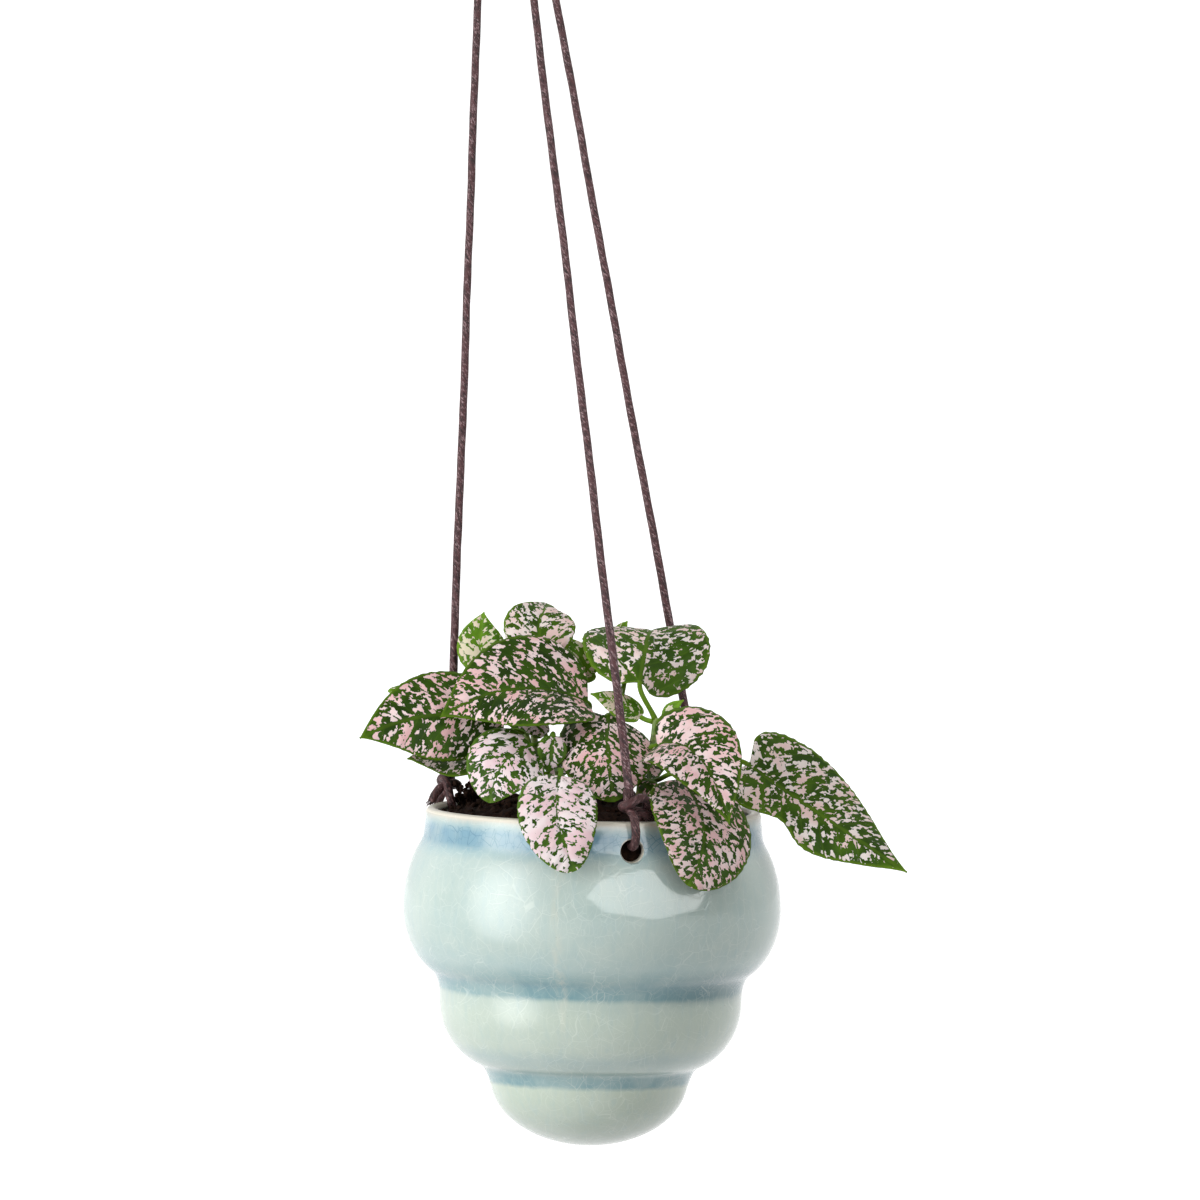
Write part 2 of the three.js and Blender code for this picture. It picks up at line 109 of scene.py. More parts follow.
def paint(code):
    """The linear colour of a six-digit sRGB code."""
    parts = [int(code[i : i + 2], 16) / 255 for i in (0, 2, 4)]
    return (*[c / 12.92 if c <= 0.04045 else ((c + 0.055) / 1.055) ** 2.4 for c in parts], 1)


def plug(tree, socket, value):
    """Gives a socket its value: a colour code, a number or vector, or another node's output."""
    if isinstance(value, bpy.types.NodeSocket):
        tree.links.new(value, socket)
    else:
        socket.default_value = paint(value) if isinstance(value, str) else value


def add(tree, kind, inputs=None, **settings):
    """A new node with its settings and then its inputs."""
    made = tree.nodes.new(kind)
    for name, value in settings.items():
        setattr(made, name, value)
    for name, value in (inputs or {}).items():
        plug(tree, made.inputs[name], value)
    return made


def work(tree, operation, *values):
    """The output of a math node."""
    return add(tree, "ShaderNodeMath", dict(enumerate(values)), operation=operation).outputs[0]


def times(tree, first, second):
    return work(tree, "MULTIPLY", first, second)


def vector_work(tree, operation, first, second=(0, 0, 0), by=None, output="Vector"):
    """An output of a vector math node; by is what SCALE multiplies with."""
    sides = {0: first, 1: second} if by is None else {0: first, "Scale": by}
    return add(tree, "ShaderNodeVectorMath", sides, operation=operation).outputs[output]


def axes(tree, place):
    return add(tree, "ShaderNodeSeparateXYZ", {0: place}).outputs


def skin_axes(tree):
    """Across and along a piece's skin, from its own UV map."""
    sides = axes(tree, add(tree, "ShaderNodeUVMap").outputs[0])
    return sides["X"], sides["Y"]


def body_place(tree):
    return add(tree, "ShaderNodeTexCoord").outputs["Object"]


def blended(tree, share, first, second):
    """The first colour, with a share of the second."""
    return add(tree, "ShaderNodeMix", {0: share, 6: first, 7: second}, data_type="RGBA").outputs[2]


def between(tree, value, start, end):
    """A smooth step: 0 until value is start and 1 from end on, whichever of them is higher."""
    sides = {"Value": value, "From Min": start, "From Max": end}
    made = add(tree, "ShaderNodeMapRange", sides, interpolation_type="SMOOTHSTEP")
    return made.outputs["Result"]


def grain(tree, where, size, detail=3, rough=0.55, **more):
    """Noise whose features are about size apart, in the units of where."""
    sides = {"Vector": where, "Scale": 1 / size, "Detail": detail, "Roughness": rough, **more}
    return add(tree, "ShaderNodeTexNoise", sides, noise_dimensions="4D").outputs["Fac"]


def new_material(name, finish):
    """A material, its tree and its Principled shader, with what is the same all over it set."""
    made = bpy.data.materials.new(name)
    made.use_nodes = True
    tree = made.node_tree
    shader = tree.nodes["Principled BSDF"]
    for title, value in finish.items():
        plug(tree, shader.inputs[title], value)
    return made, tree, shader


def new_group(name, takes, gives):
    """A shader node group and its inputs; takes holds their values, gives names the outputs."""
    group = bpy.data.node_groups.new(name, "ShaderNodeTree")
    for title, value in takes.items():
        socket = group.interface.new_socket(title, in_out="INPUT", socket_type="NodeSocketFloat")
        socket.default_value = value
    for title in gives:
        group.interface.new_socket(title, in_out="OUTPUT", socket_type="NodeSocketFloat")
    return group, group.nodes.new("NodeGroupInput").outputs


def give(group, **made):
    """Joins what a group has made to its outputs."""
    ends = group.nodes.new("NodeGroupOutput")
    for title, socket in made.items():
        plug(group, ends.inputs[title], socket)


def bumped(tree, height, strength, distance):
    sides = {"Height": height, "Strength": strength, "Distance": distance}
    return add(tree, "ShaderNodeBump", sides).outputs["Normal"]


def cotton_twist():
    """A node group: the fibres, wax flecks and worn patches on a twisted cord's skin."""
    group, given = new_group("cotton_twist", {"Lay": CORD_LAY}, ("Fibres", "Flecks", "Patches", "Relief"))
    across, along = skin_axes(group)
    along = times(group, along, 1 / MM)
    turns = work(group, "ADD", across, work(group, "DIVIDE", along, given["Lay"]))
    angle = times(group, turns, math.tau)
    ring = {"X": work(group, "COSINE", angle), "Y": work(group, "SINE", angle)}

    def drawn_out(pace):
        sides = {**ring, "Z": times(group, along, pace)}
        return add(group, "ShaderNodeCombineXYZ", sides).outputs[0]

    fibres = grain(group, drawn_out(0.14), 0.42, 4, 0.6)
    flecks = grain(group, drawn_out(0.34), 0.36, 2, 0.5, W=7.0)
    patches = grain(group, drawn_out(0.14), 2.5, 2, 0.5, W=3.0)
    relief = work(group, "ADD", fibres, times(group, flecks, 0.5))
    give(group, Fibres=fibres, Flecks=flecks, Patches=patches, Relief=relief)
    return group


COTTON_TWIST = cotton_twist()


def cord_material(name, deep, light, wax):
    """Cotton deep in colour between its fibres and light on them, with pale flecks of wax."""
    finish = {"Roughness": 0.55, "Specular IOR Level": 0.3, "Sheen Weight": 0.05, "Sheen Roughness": 0.4}
    made, tree, shader = new_material(name, finish)
    twist = add(tree, "ShaderNodeGroup", {"Lay": CORD_LAY}, node_tree=COTTON_TWIST).outputs
    worn = times(tree, between(tree, twist["Patches"], 0.45, 0.75), 0.6)
    colour = blended(tree, between(tree, twist["Fibres"], 0.38, 0.60), deep, light)
    colour = blended(tree, between(tree, twist["Flecks"], 0.53, 0.64), colour, wax)
    colour = blended(tree, worn, colour, light)
    plug(tree, shader.inputs["Base Color"], colour)
    plug(tree, shader.inputs["Normal"], bumped(tree, twist["Relief"], 0.8, 0.3 * MM))
    return made


WAXED_CORD = cord_material("waxed_cord", "180B0C", "543437", "92787B")


def smooth_path(points, step):
    """Points about step apart on a smooth curve through the given ones."""
    ends = [2 * points[0] - points[1], *points, 2 * points[-1] - points[-2]]
    path = []
    for a, b, c, d in zip(ends, ends[1:], ends[2:], ends[3:]):
        count = max(2, math.ceil((c - b).length / step))
        for i in range(count):
            t = i / count
            path.append(
                0.5 * (2 * b + (c - a) * t + (2 * a - 5 * b + 4 * c - d) * t**2
                       + (3 * b - a - 3 * c + d) * t**3)
            )
    return [*path, points[-1].copy()]


def carried(path):
    """For each point of a path, its direction and a sideways vector that doesn't spin round it."""
    found, side = [], None
    for i, point in enumerate(path):
        ahead = path[min(i + 1, len(path) - 1)] - path[max(i - 1, 0)]
        ahead.normalize()
        if side is None:
            side = ahead.orthogonal()
        side = (side - side.dot(ahead) * ahead).normalized()
        found.append((point, ahead, side))
    return found


def bent_grid(bm, columns, rows, place, marks=()):
    """A grid laid to place(across, along), each from 0 to 1.

    place gives a point, its UV and a value for each of the marks, which are saved by name.
    """
    uv = bm.loops.layers.uv.verify()
    layers = [bm.verts.layers.float.new(name) for name in marks]
    made = bmesh.ops.create_grid(bm, x_segments=columns, y_segments=rows, size=0.5)["verts"]
    spots = {}
    for vertex in made:
        vertex.co, spots[vertex], *values = place(vertex.co.x + 0.5, vertex.co.y + 0.5)
        for layer, value in zip(layers, values):
            vertex[layer] = value
    for face in {face for vertex in made for face in vertex.link_faces}:
        for loop in face.loops:
            loop[uv].uv = spots[loop.vert]
    return made


def tube(bm, path, radius, sides):
    """A closed round skin along a path; radius(along, angle) is its size there."""
    line = carried(path)
    rows = len(path) + 1
    lengths = [0.0]
    for here, ahead in zip(path, path[1:]):
        lengths.append(lengths[-1] + (ahead - here).length)

    def place(across, along):
        row = round(along * rows)
        inner = min(max(row - 1, 0), len(path) - 1)
        point, ahead, side = line[inner]
        angle = across * math.tau
        size = 0 if row in (0, rows) else radius(lengths[inner] / lengths[-1], angle)
        out = side * math.cos(angle) + ahead.cross(side) * math.sin(angle)
        return point + out * size, (across, lengths[inner])

    made = bent_grid(bm, sides, rows, place)
    bmesh.ops.remove_doubles(bm, verts=made, dist=1e-7)


def finished(bm, name, material=None):
    """Turns the faces outwards and makes the smooth-shaded object."""
    bmesh.ops.recalc_face_normals(bm, faces=bm.faces)
    mesh = bpy.data.meshes.new(name)
    bm.to_mesh(mesh)
    bm.free()
    mesh.shade_smooth()
    if material:
        mesh.materials.append(material)
    piece = bpy.data.objects.new(name, mesh)
    bpy.context.scene.collection.objects.link(piece)
    return piece


def twisted(thick, seed, slack=0.0):
    """The radius of twisted cord: three soft strands, unevenness, and a thicker start if slack."""
    def radius(along, angle):
        strands = STRAND_SWELL * math.cos(3 * angle + STRAND_TWIST * along)
        uneven = UNEVEN * noise.noise(Vector((UNEVEN_WAVES * along, seed, 0.3 * math.cos(angle))))
        return thick / 2 * (1 + strands + uneven + slack * (1 - along) ** 4)
    return radius


def beside_rim(side, out, height, along=0.0):
    """A point near a cord's hole, in mm: out from the pot's axis, up from the rim and along it."""
    turn = math.radians(CORD_ANGLES[side])
    x = out * math.sin(turn) + along * math.cos(turn)
    y = -out * math.cos(turn) + along * math.sin(turn)
    return RIM + Vector((x, y, height)) * MM


cord_pieces = {}
cord_routes = {}
for number, side in enumerate(CORD_ANGLES):
    low = beside_rim(side, KNOT_OUT, KNOT_HEIGHT)
    high = GATHER - (GATHER - low).normalized() * CORD_END
    count = round((high - low).length / CORD_STEP)
    route = []
    for i in range(count + 1):
        t = i / count
        sway_x = noise.noise(Vector((WANDER_WAVES * t, number, 0)))
        sway_y = noise.noise(Vector((WANDER_WAVES * t, number, 9)))
        stray = Vector((sway_x, sway_y, 0)) * WANDER * MM
        route.append(low.lerp(high, t) + stray * 8 * t * (1 - t))
    bm = bmesh.new()
    tube(bm, route, twisted(CORD_THICK, number * 5.0, 0.14), CORD_SIDES)
    cord_routes[side] = route
    cord_pieces[side] = finished(bm, f"waxed_cord_{side}", WAXED_CORD)


# ---- rim knots ----
# Each cord goes over the rim, in through its hole, up inside the wall and round itself in a
# hitch that jams against the rim. The cut end sticks out of the knot and frays.
# Each point is out from the pot's axis, up from the rim and along it, in mm.
KNOT_STEP = 0.6 * MM
HITCHES = {
    "front": [
        (55.8, 11, -1.6), (55.7, 8, -1.4), (55.9, 5.2, -1.2), (57.4, 3.8, -0.8), (59.9, 2.2, -0.1),
        (61.2, -1.5, 0.3), (61.0, -4.6, 0.5), (59.7, -7.2, 0.5), (57.0, -8.4, 0.4),
        (53.8, -7.8, 0.5), (51.5, -5.2, 1.0), (51.0, -1.8, 2.4), (51.6, 1.8, 4.6),
        (53.0, 5.0, 6.0), (54.8, 7.6, 5.0), (57.0, 8.0, 2.4), (59.0, 6.6, -0.8),
        (58.4, 5.9, -2.3), (56.0, 5.4, -3.0), (53.6, 4.7, -2.5), (52.6, 4.2, -0.8),
        (53.2, 3.6, 1.6), (54.4, 3.0, 4.0), (54.0, 1.8, 6.4),
    ],
    "left": [
        (55.8, 11, -0.6), (55.6, 8, -0.9), (56.0, 5.2, -1.3), (57.6, 3.8, -2.2), (60.0, 1.5, -2.6),
        (61.1, -2.0, -2.2), (60.9, -5.6, -1.0), (59.4, -8.2, -0.3), (56.6, -9.2, 0.0),
        (53.6, -8.4, 0.4), (51.9, -6.2, 2.8), (51.6, -3.2, 4.8), (52.1, 0.4, 5.5),
        (53.3, 3.6, 5.0), (54.8, 6.8, 3.8), (57.6, 8.0, 1.4), (59.4, 6.6, -0.8),
        (59.0, 5.6, -3.2), (56.0, 5.2, -4.0), (53.6, 5.4, -2.4), (53.6, 6.2, 0.2),
        (55.2, 6.0, 2.6), (57.0, 4.6, 4.2), (58.3, 2.6, 5.2), (59.0, 0.8, 5.8), (59.3, -0.2, 6.1),
    ],
}
HITCHES["right"] = [(out, height, -along) for out, height, along in HITCHES["left"]]
FRAY_STRANDS, FRAY_LENGTH, FRAY_THICK = 18, 3.2, 0.6  # lengths in mm
FRAY_SPREAD, FRAY_BEND = 0.45, 0.8
FRAY_ROOT, FRAY_ROOT_DEPTH = 0.7, 1.2  # how far from the cord's middle and inside its end they start
KNOTTED_CORD = cord_material("knotted_cord", "140708", "472829", "77595A")  # darker all over than the taut cord


def frayed_end(bm, tip, ahead, seed):
    """Loose cotton fibres that spread from a cut end."""
    dice = random.Random(seed)
    for _ in range(FRAY_STRANDS):
        spread = Vector([dice.uniform(-1, 1) for _ in range(3)])
        start = tip + spread * FRAY_ROOT * MM - ahead * FRAY_ROOT_DEPTH * MM
        way = (ahead + spread * FRAY_SPREAD).normalized()
        bend = Vector([dice.uniform(-1, 1) for _ in range(3)]) * FRAY_BEND * MM
        length = dice.uniform(0.6, 1.0) * FRAY_LENGTH * MM
        middle = start + way * length * 0.5 + bend * 0.4
        path = smooth_path([start, middle, start + way * length + bend], MM)
        tube(bm, path, lambda along, angle: FRAY_THICK / 2 * MM * (1 - 0.6 * along), 5)


knot_pieces = {}
for number, (side, points) in enumerate(HITCHES.items()):
    route = smooth_path([beside_rim(side, *point) for point in points], KNOT_STEP)
    bm = bmesh.new()
    tube(bm, route, twisted(CORD_WIDE, 11.0 + number), CORD_SIDES)
    frayed_end(bm, route[-1], (route[-1] - route[-4]).normalized(), 20 + number)
    knot_pieces[side] = finished(bm, f"rim_knot_{side}", KNOTTED_CORD)
    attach(knot_pieces[side], "root")
    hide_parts(f"knot_{side}")


# ---- gathering knot and hanging loop ----
# The three cords are bound together by a whipping of the same cord, wound round and round,
# and one cord doubles back above it into the loop that goes over a hook. The core and the loop
# are laid out from the point where the cords would meet, in mm.
WRAP_TURNS = 5.6
WRAP_STEPS = 36  # in each turn
WRAP_RADIUS = 4.5 * MM
WRAP_HALF = 7.3 * MM
WRAP_TAPER = 0.10
CORE_RADIUS = 3.4 * MM
CORE_DEPTH = 17
LOOP_LEFT = [(-1.9, -8), (-2.2, -1.5), (-6.3, 9), (-7.8, 17), (-4.8, 25.4)]
LOOP_TOP = 29.0

bm = bmesh.new()
winding = []
for i in range(int(WRAP_TURNS * WRAP_STEPS) + 1):
    turn = i / WRAP_STEPS * math.tau
    height = -WRAP_HALF + 2 * WRAP_HALF * i / (WRAP_TURNS * WRAP_STEPS)
    out = WRAP_RADIUS * (1 - WRAP_TAPER * (height / WRAP_HALF) ** 4)
    spot = Vector((out * math.cos(turn), out * math.sin(turn), height - GATHER_HALF_HEIGHT))
    winding.append(GATHER + spot)
tube(bm, winding, twisted(CORD_THICK, 30.0), CORD_SIDES)
core = [GATHER + Vector((0, 0, height * MM)) for height in range(-CORE_DEPTH, 0)]
tube(bm, core, lambda along, angle: CORE_RADIUS * (0.9 + 0.1 * math.cos(3 * angle)), 24)
gathering_knot = finished(bm, "gathering_whipping", WAXED_CORD)
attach(gathering_knot, "root")
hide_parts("gathering_knot")

loop_points = [*LOOP_LEFT, (0, LOOP_TOP), *[(-x, z) for x, z in reversed(LOOP_LEFT)]]
bm = bmesh.new()
loop_route = smooth_path([GATHER + Vector((x, 0, z)) * MM for x, z in loop_points], MM)
tube(bm, loop_route, twisted(CORD_THICK, 41.0), CORD_SIDES)
hanging_loop = finished(bm, "hook_loop", WAXED_CORD)
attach(hanging_loop, "root")
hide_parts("hanging_loop")

# Each cord is attached to the root; the knots that belong with it, its rim knot and for the front one
# also the knot and loop at the top, are listed but not used.
for side, piece in cord_pieces.items():
    route = cord_routes[side]
    ends = [knot_pieces[side]]
    if side == "front":
        ends += [gathering_knot, hanging_loop]
    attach(piece, "root")
    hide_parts(f"cord_{side}")


# ---- pot ----
# Thrown stoneware in three rounded tiers under a plain collar, with a hole bored below the rim
# for each cord. The pale celadon glaze pools blue under the rim and in the grooves, runs thin
# and creamy on the edges, and crackled all over as it cooled. The upper groove also gets painted
# shade, darker on the right.
# Lengths are in mm, and the profile is out from the pot's axis and up from its rim.
WALL = 4
POT_STEPS = 160
PROFILE_STEP = 1.4
HOLE_DROP, HOLE_RADIUS, HOLE_FLARE = 9.8, 3.75, 0.5
HOLE_OUT = 56.3  # the middle of the wall at a hole, from the pot's axis
DRILL_START, DRILL_LENGTH, DRILL_STEPS, DRILL_SIDES = 49, 14.4, 36, 48
SHARP_EDGE = math.radians(35)  # only where a hole cuts the wall
GLAZE_BANDS = [  # heights, up from the foot, and the glaze's colour there
    (-116, "A3B1A6"), (-104, "B3C1B3"), (-94.6, "BCC9B9"), (-93.0, "759AA0"), (-90.0, "759AA0"),
    (-87.0, "A9BDB6"), (-83.0, "A6BBB8"), (-79.5, "B9C8BC"), (-68, "BCCABD"), (-62.6, "B6C6BC"),
    (-60.9, "7099A0"), (-57.0, "7099A2"), (-54.0, "87A9AC"), (-50.0, "A8C0BF"), (-43, "B2C5C0"),
    (-26, "B6C8C2"), (-15, "B3C6C2"), (-12.6, "A4BEC0"), (-9.6, "78A0B2"), (-5.6, "759FB4"),
    (-3.6, "9FBBC0"), (-1.8, "C9CAC0"), (0.5, "D3D2C8"),
]
BANDS_LOW, BANDS_HIGH = -120.0, 5.0
GLAZE_DRIP = 0.42  # how unevenly the bands run
CREAM, CREAM_RUN = "D8D2C2", "D8D6C4"
BARE_LIP, BARE_RING = (-2.0, -1.0), (4.8, 4.35)  # heights, and distances from a hole's middle
CREAM_RUN_TURN = 0.183  # where the glaze has run thin, in radians from the front to the left
CRACKS = ((5.4, 0.055), (2.6, 0.04))  # how far apart the coarse and the fine are, and how thick


def arc(centre, swell, start, end, step=6):
    """Points of (out, height) along part of an ellipse; angles run from outwards to upwards."""
    count = max(2, round(abs(end - start) / step))
    angles = [math.radians(start + (end - start) * i / count) for i in range(count + 1)]
    return [
        (max(centre[0] + swell[0] * math.cos(a), 0), centre[1] + swell[1] * math.sin(a))
        for a in angles
    ]


def wall_face(inset):
    """A face of the pot's wall, inset from the glazed outside, from the collar to the axis."""
    return [
        *arc((45, -34), (20 - inset, 31.5 - inset), 45, 0),
        *arc((45, -34), (20 - inset, 25.6 - inset), -5, -64),
        (52.2 - inset, -60.8 + inset / 2),
        *arc((30, -66), (22 - inset, 24 - inset), -3, -72),
        (34.8 - inset, -92.4 + inset),
        *arc((0, -93), (34 - inset, 23 - inset), -12, -90),
    ]


def softened(points):
    """The same line with its corners cut off."""
    cut = [points[0]]
    for a, b in zip(points, points[1:]):
        cut += [a.lerp(b, 0.25), a.lerp(b, 0.75)]
    return [*cut, points[-1]]


def evenly(points, step):
    """Points about step apart along a line of points."""
    lengths = [0.0]
    for a, b in zip(points, points[1:]):
        lengths.append(lengths[-1] + (b - a).length)
    count = round(lengths[-1] / step)
    found, part = [], 0
    for i in range(count + 1):
        distance = lengths[-1] * i / count
        while part < len(points) - 2 and lengths[part + 1] < distance:
            part += 1
        span = lengths[part + 1] - lengths[part]
        found.append(points[part].lerp(points[part + 1], (distance - lengths[part]) / span))
    return found


def turned(bm, profile, steps):
    """Spins a profile of (out, height) in mm round the pot's axis."""
    corners = [bm.verts.new(RIM + Vector((out, 0, height)) * MM) for out, height in profile]
    edges = [bm.edges.new(pair) for pair in zip(corners, corners[1:])]
    bmesh.ops.spin(
        bm, geom=[*corners, *edges], cent=RIM, axis=(0, 0, 1), angle=math.tau, steps=steps, use_merge=True
    )
    bmesh.ops.remove_doubles(bm, verts=bm.verts, dist=1e-6)


def around_rim(tree):
    """Where a spot of the pot is from the middle of its rim, in mm."""
    spot = vector_work(tree, "SUBTRACT", body_place(tree), tuple(RIM))
    return vector_work(tree, "SCALE", spot, by=1 / MM)


def glaze_bands(tree, edge):
    """The glaze's colour by height."""
    ramp = tree.nodes.new("ShaderNodeValToRGB")
    shift = {"Value": edge, "From Min": BANDS_LOW, "From Max": BANDS_HIGH}
    plug(tree, ramp.inputs[0], add(tree, "ShaderNodeMapRange", shift).outputs["Result"])
    stops = ramp.color_ramp.elements
    for i, (level, code) in enumerate(GLAZE_BANDS):
        stop = stops[i] if i < len(stops) else stops.new(1.0)
        stop.position = (level - BANDS_LOW) / (BANDS_HIGH - BANDS_LOW)
        stop.color = paint(code)
    return ramp.outputs["Color"]


def crackle(tree, spot):
    """Fine cracks of two sizes, bent a little and taller than wide."""
    bent = add(tree, "ShaderNodeTexNoise", {"Vector": spot, "Scale": 0.09, "Detail": 0.5})
    bent = vector_work(tree, "SCALE", bent.outputs["Color"], by=5.0)
    warped = vector_work(tree, "ADD", spot, bent)
    warped = vector_work(tree, "MULTIPLY", warped, (1, 1, 0.75))
    lines = []
    for size, thick in CRACKS:
        sides = {"Vector": warped, "Scale": 1 / size}
        cells = add(tree, "ShaderNodeTexVoronoi", sides, feature="DISTANCE_TO_EDGE").outputs["Distance"]
        apart = times(tree, cells, size)
        lines.append(between(tree, apart, thick * 2, thick * 0.4))
    return work(tree, "MAXIMUM", lines[0], times(tree, lines[1], 0.7))


def bare_rim(tree, spot):
    """Where the glaze runs thin and creamy: on the lip and round each hole."""
    lip = between(tree, axes(tree, spot)["Z"], *BARE_LIP)
    for side in CORD_ANGLES:
        hole = tuple((beside_rim(side, HOLE_OUT, -HOLE_DROP) - RIM) / MM)
        away = vector_work(tree, "DISTANCE", spot, hole, output="Value")
        lip = work(tree, "MAXIMUM", lip, between(tree, away, *BARE_RING))
    return lip


def glaze_material():
    made, tree, shader = new_material("celadon_glaze", {})
    spot = around_rim(tree)
    sides = axes(tree, spot)
    height = sides["Z"]
    tall = vector_work(tree, "MULTIPLY", spot, (1, 1, 0.16))
    wide = vector_work(tree, "MULTIPLY", spot, (0.12, 0.12, 1))
    drips = work(tree, "MULTIPLY_ADD", grain(tree, tall, 4.0, 4), 3.2, -1.6)
    sway = work(tree, "MULTIPLY_ADD", grain(tree, spot, 26.0, 2, W=4.0), 5.0, -2.5)
    edge = work(tree, "ADD", height, times(tree, work(tree, "ADD", drips, sway), GLAZE_DRIP))
    cloud = between(tree, grain(tree, spot, 16.0, 3, W=8.0), 0.35, 0.7)
    streaks = between(tree, grain(tree, tall, 2.2, 3, W=2.0), 0.45, 0.75)
    colour = blended(tree, times(tree, cloud, 0.35), glaze_bands(tree, edge), "C9D5CB")
    colour = blended(tree, times(tree, streaks, 0.22), colour, "9DBBC0")

    # A thin cream run near the front, and painted shade: the upper groove darkened to a deep blue-grey on
    # the right, the side away from the wide light.
    turn = work(tree, "ARCTAN2", sides["X"], times(tree, sides["Y"], -1.0))
    astray = work(tree, "ADD", work(tree, "MULTIPLY_ADD", drips, 0.02, CREAM_RUN_TURN), turn)
    run = between(tree, work(tree, "ABSOLUTE", astray), 0.06, 0.004)
    run = times(tree, run, between(tree, grain(tree, tall, 1.6, 3, W=6.0), 0.35, 0.65))
    run = times(tree, run, between(tree, height, -84.0, -60.0))
    colour = blended(tree, times(tree, run, 0.3), colour, CREAM_RUN)
    # Painted shade: the upper groove turns deep blue-grey only on the right, the side the wide light
    # leaves in shade.
    painted_shade_groove = work(tree, "SUBTRACT", between(tree, edge, -65.0, -60.5), between(tree, edge, -56.0, -50.0))
    thick = times(tree, painted_shade_groove, between(tree, turn, 0.2, 0.9))
    colour = blended(tree, times(tree, thick, 0.6), colour, "52767C")
    lip = bare_rim(tree, spot)
    colour = blended(tree, lip, colour, CREAM)

    # The cracks are pale, and dark blue where the glaze pools under the rim.
    cracks = crackle(tree, spot)
    patchy = between(tree, grain(tree, spot, 14.0, 2, W=5.0), 0.36, 0.62)
    pooled = work(tree, "SUBTRACT", between(tree, edge, -12.0, -9.5), between(tree, edge, -4.5, -3.0))
    seen = work(tree, "MULTIPLY_ADD", pooled, 0.35, work(tree, "MULTIPLY_ADD", patchy, 0.16, 0.1))
    seen = times(tree, cracks, seen)
    colour = blended(tree, seen, colour, blended(tree, pooled, "EDF3EA", "2F6E86"))
    specks = between(tree, grain(tree, spot, 0.7, 1, W=9.0), 0.73, 0.78)
    colour = blended(tree, times(tree, specks, 0.35), colour, "6E7F78")
    plug(tree, shader.inputs["Base Color"], colour)
    plug(tree, shader.inputs["Roughness"], work(tree, "MULTIPLY_ADD", lip, 0.22, 0.09))
    throwing = times(tree, grain(tree, wide, 2.2, 2, W=1.0), 0.5)
    relief = work(tree, "SUBTRACT", throwing, times(tree, cracks, 0.45))
    plug(tree, shader.inputs["Normal"], bumped(tree, relief, 0.4, 0.12 * MM))
    return made


profile = [
    *reversed(wall_face(0)), (58.3, -9.5), *arc((55.6, -1.6), (2, 1.6), 0, 180, 15), (54.2, -11),
    *wall_face(WALL),
]
profile = softened(softened([Vector(point) for point in profile]))
bm = bmesh.new()
turned(bm, evenly(profile, PROFILE_STEP), POT_STEPS)
pot = finished(bm, "stepped_pot", glaze_material())

bm = bmesh.new()
for side in CORD_ANGLES:
    outs = [DRILL_START + DRILL_LENGTH * i / DRILL_STEPS for i in range(DRILL_STEPS + 1)]
    bore = [beside_rim(side, out, -HOLE_DROP) for out in outs]

    def flared(along, angle):
        """Wider at both faces of the wall."""
        off = abs(DRILL_START + DRILL_LENGTH * along - HOLE_OUT) / (WALL / 2 + 0.1)
        return (HOLE_RADIUS + HOLE_FLARE * min(off, 1.05) ** 4) * MM

    tube(bm, bore, flared, DRILL_SIDES)
drills = finished(bm, "cord_hole_drills")
carve = pot.modifiers.new("cord_holes", "BOOLEAN")
carve.solver = "MANIFOLD"
carve.object = drills
carved = pot.evaluated_get(bpy.context.evaluated_depsgraph_get())
pot.data = bpy.data.meshes.new_from_object(carved)
pot.modifiers.clear()
pot.data.set_sharp_from_angle(angle=SHARP_EDGE)
bpy.data.objects.remove(drills)
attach(pot, "root")
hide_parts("pot")


# ---- soil ----
# Dark peat that fills the pot and mounds up round the stems: a crust of crumbs and root fibres,
# pulled into a loose tuft beside the left knot. The surface is out from the pot's axis and up
# from its rim, in mm.
SOIL_SURFACE = [(0, 4), (16, 3.6), (30, 2), (42, -0.4), (50, -2.4), (53.2, -3)]
CRUMBS, FIBRES, TUFT_FIBRES = 420, 160, 60
CRUMB_SIZES, FIBRE_LENGTHS, FIBRE_THICK = (0.5, 1.5), (2, 5), 0.18
SOIL_STEPS = 190
CLODS, GRIT = (0.16, 1.6), (0.6, 0.9)  # how close together lumps of the surface are, and how high
TUFT_ANGLES, TUFT_OUT = (-129, -113), (44, 51)
TUFT_LENGTHS, TUFT_THICK, TUFT_LUMPS = (4, 10), (0.25, 0.6), (0.5, 1.2)


def soil_material():
    made, tree, shader = new_material("peat", {"Roughness": 0.92, "Specular IOR Level": 0.1})
    spot = body_place(tree)
    clods = grain(tree, spot, 2.2 * MM, 5, 0.65)
    dust = between(tree, grain(tree, spot, 0.9 * MM, 3, 0.6, W=4.0), 0.4, 0.7)
    colour = blended(tree, between(tree, clods, 0.35, 0.68), "0B0605", "2B1B14")
    colour = blended(tree, times(tree, dust, 0.3), colour, "4C3628")
    plug(tree, shader.inputs["Base Color"], colour)
    plug(tree, shader.inputs["Normal"], bumped(tree, clods, 0.8, 0.6 * MM))
    return made


def soil_height(out):
    """The mounded surface's height in mm at a distance out from the axis."""
    for (a, low), (b, high) in zip(SOIL_SURFACE, SOIL_SURFACE[1:]):
        if out <= b:
            return low + (high - low) * (out - a) / (b - a)
    return SOIL_SURFACE[-1][1]


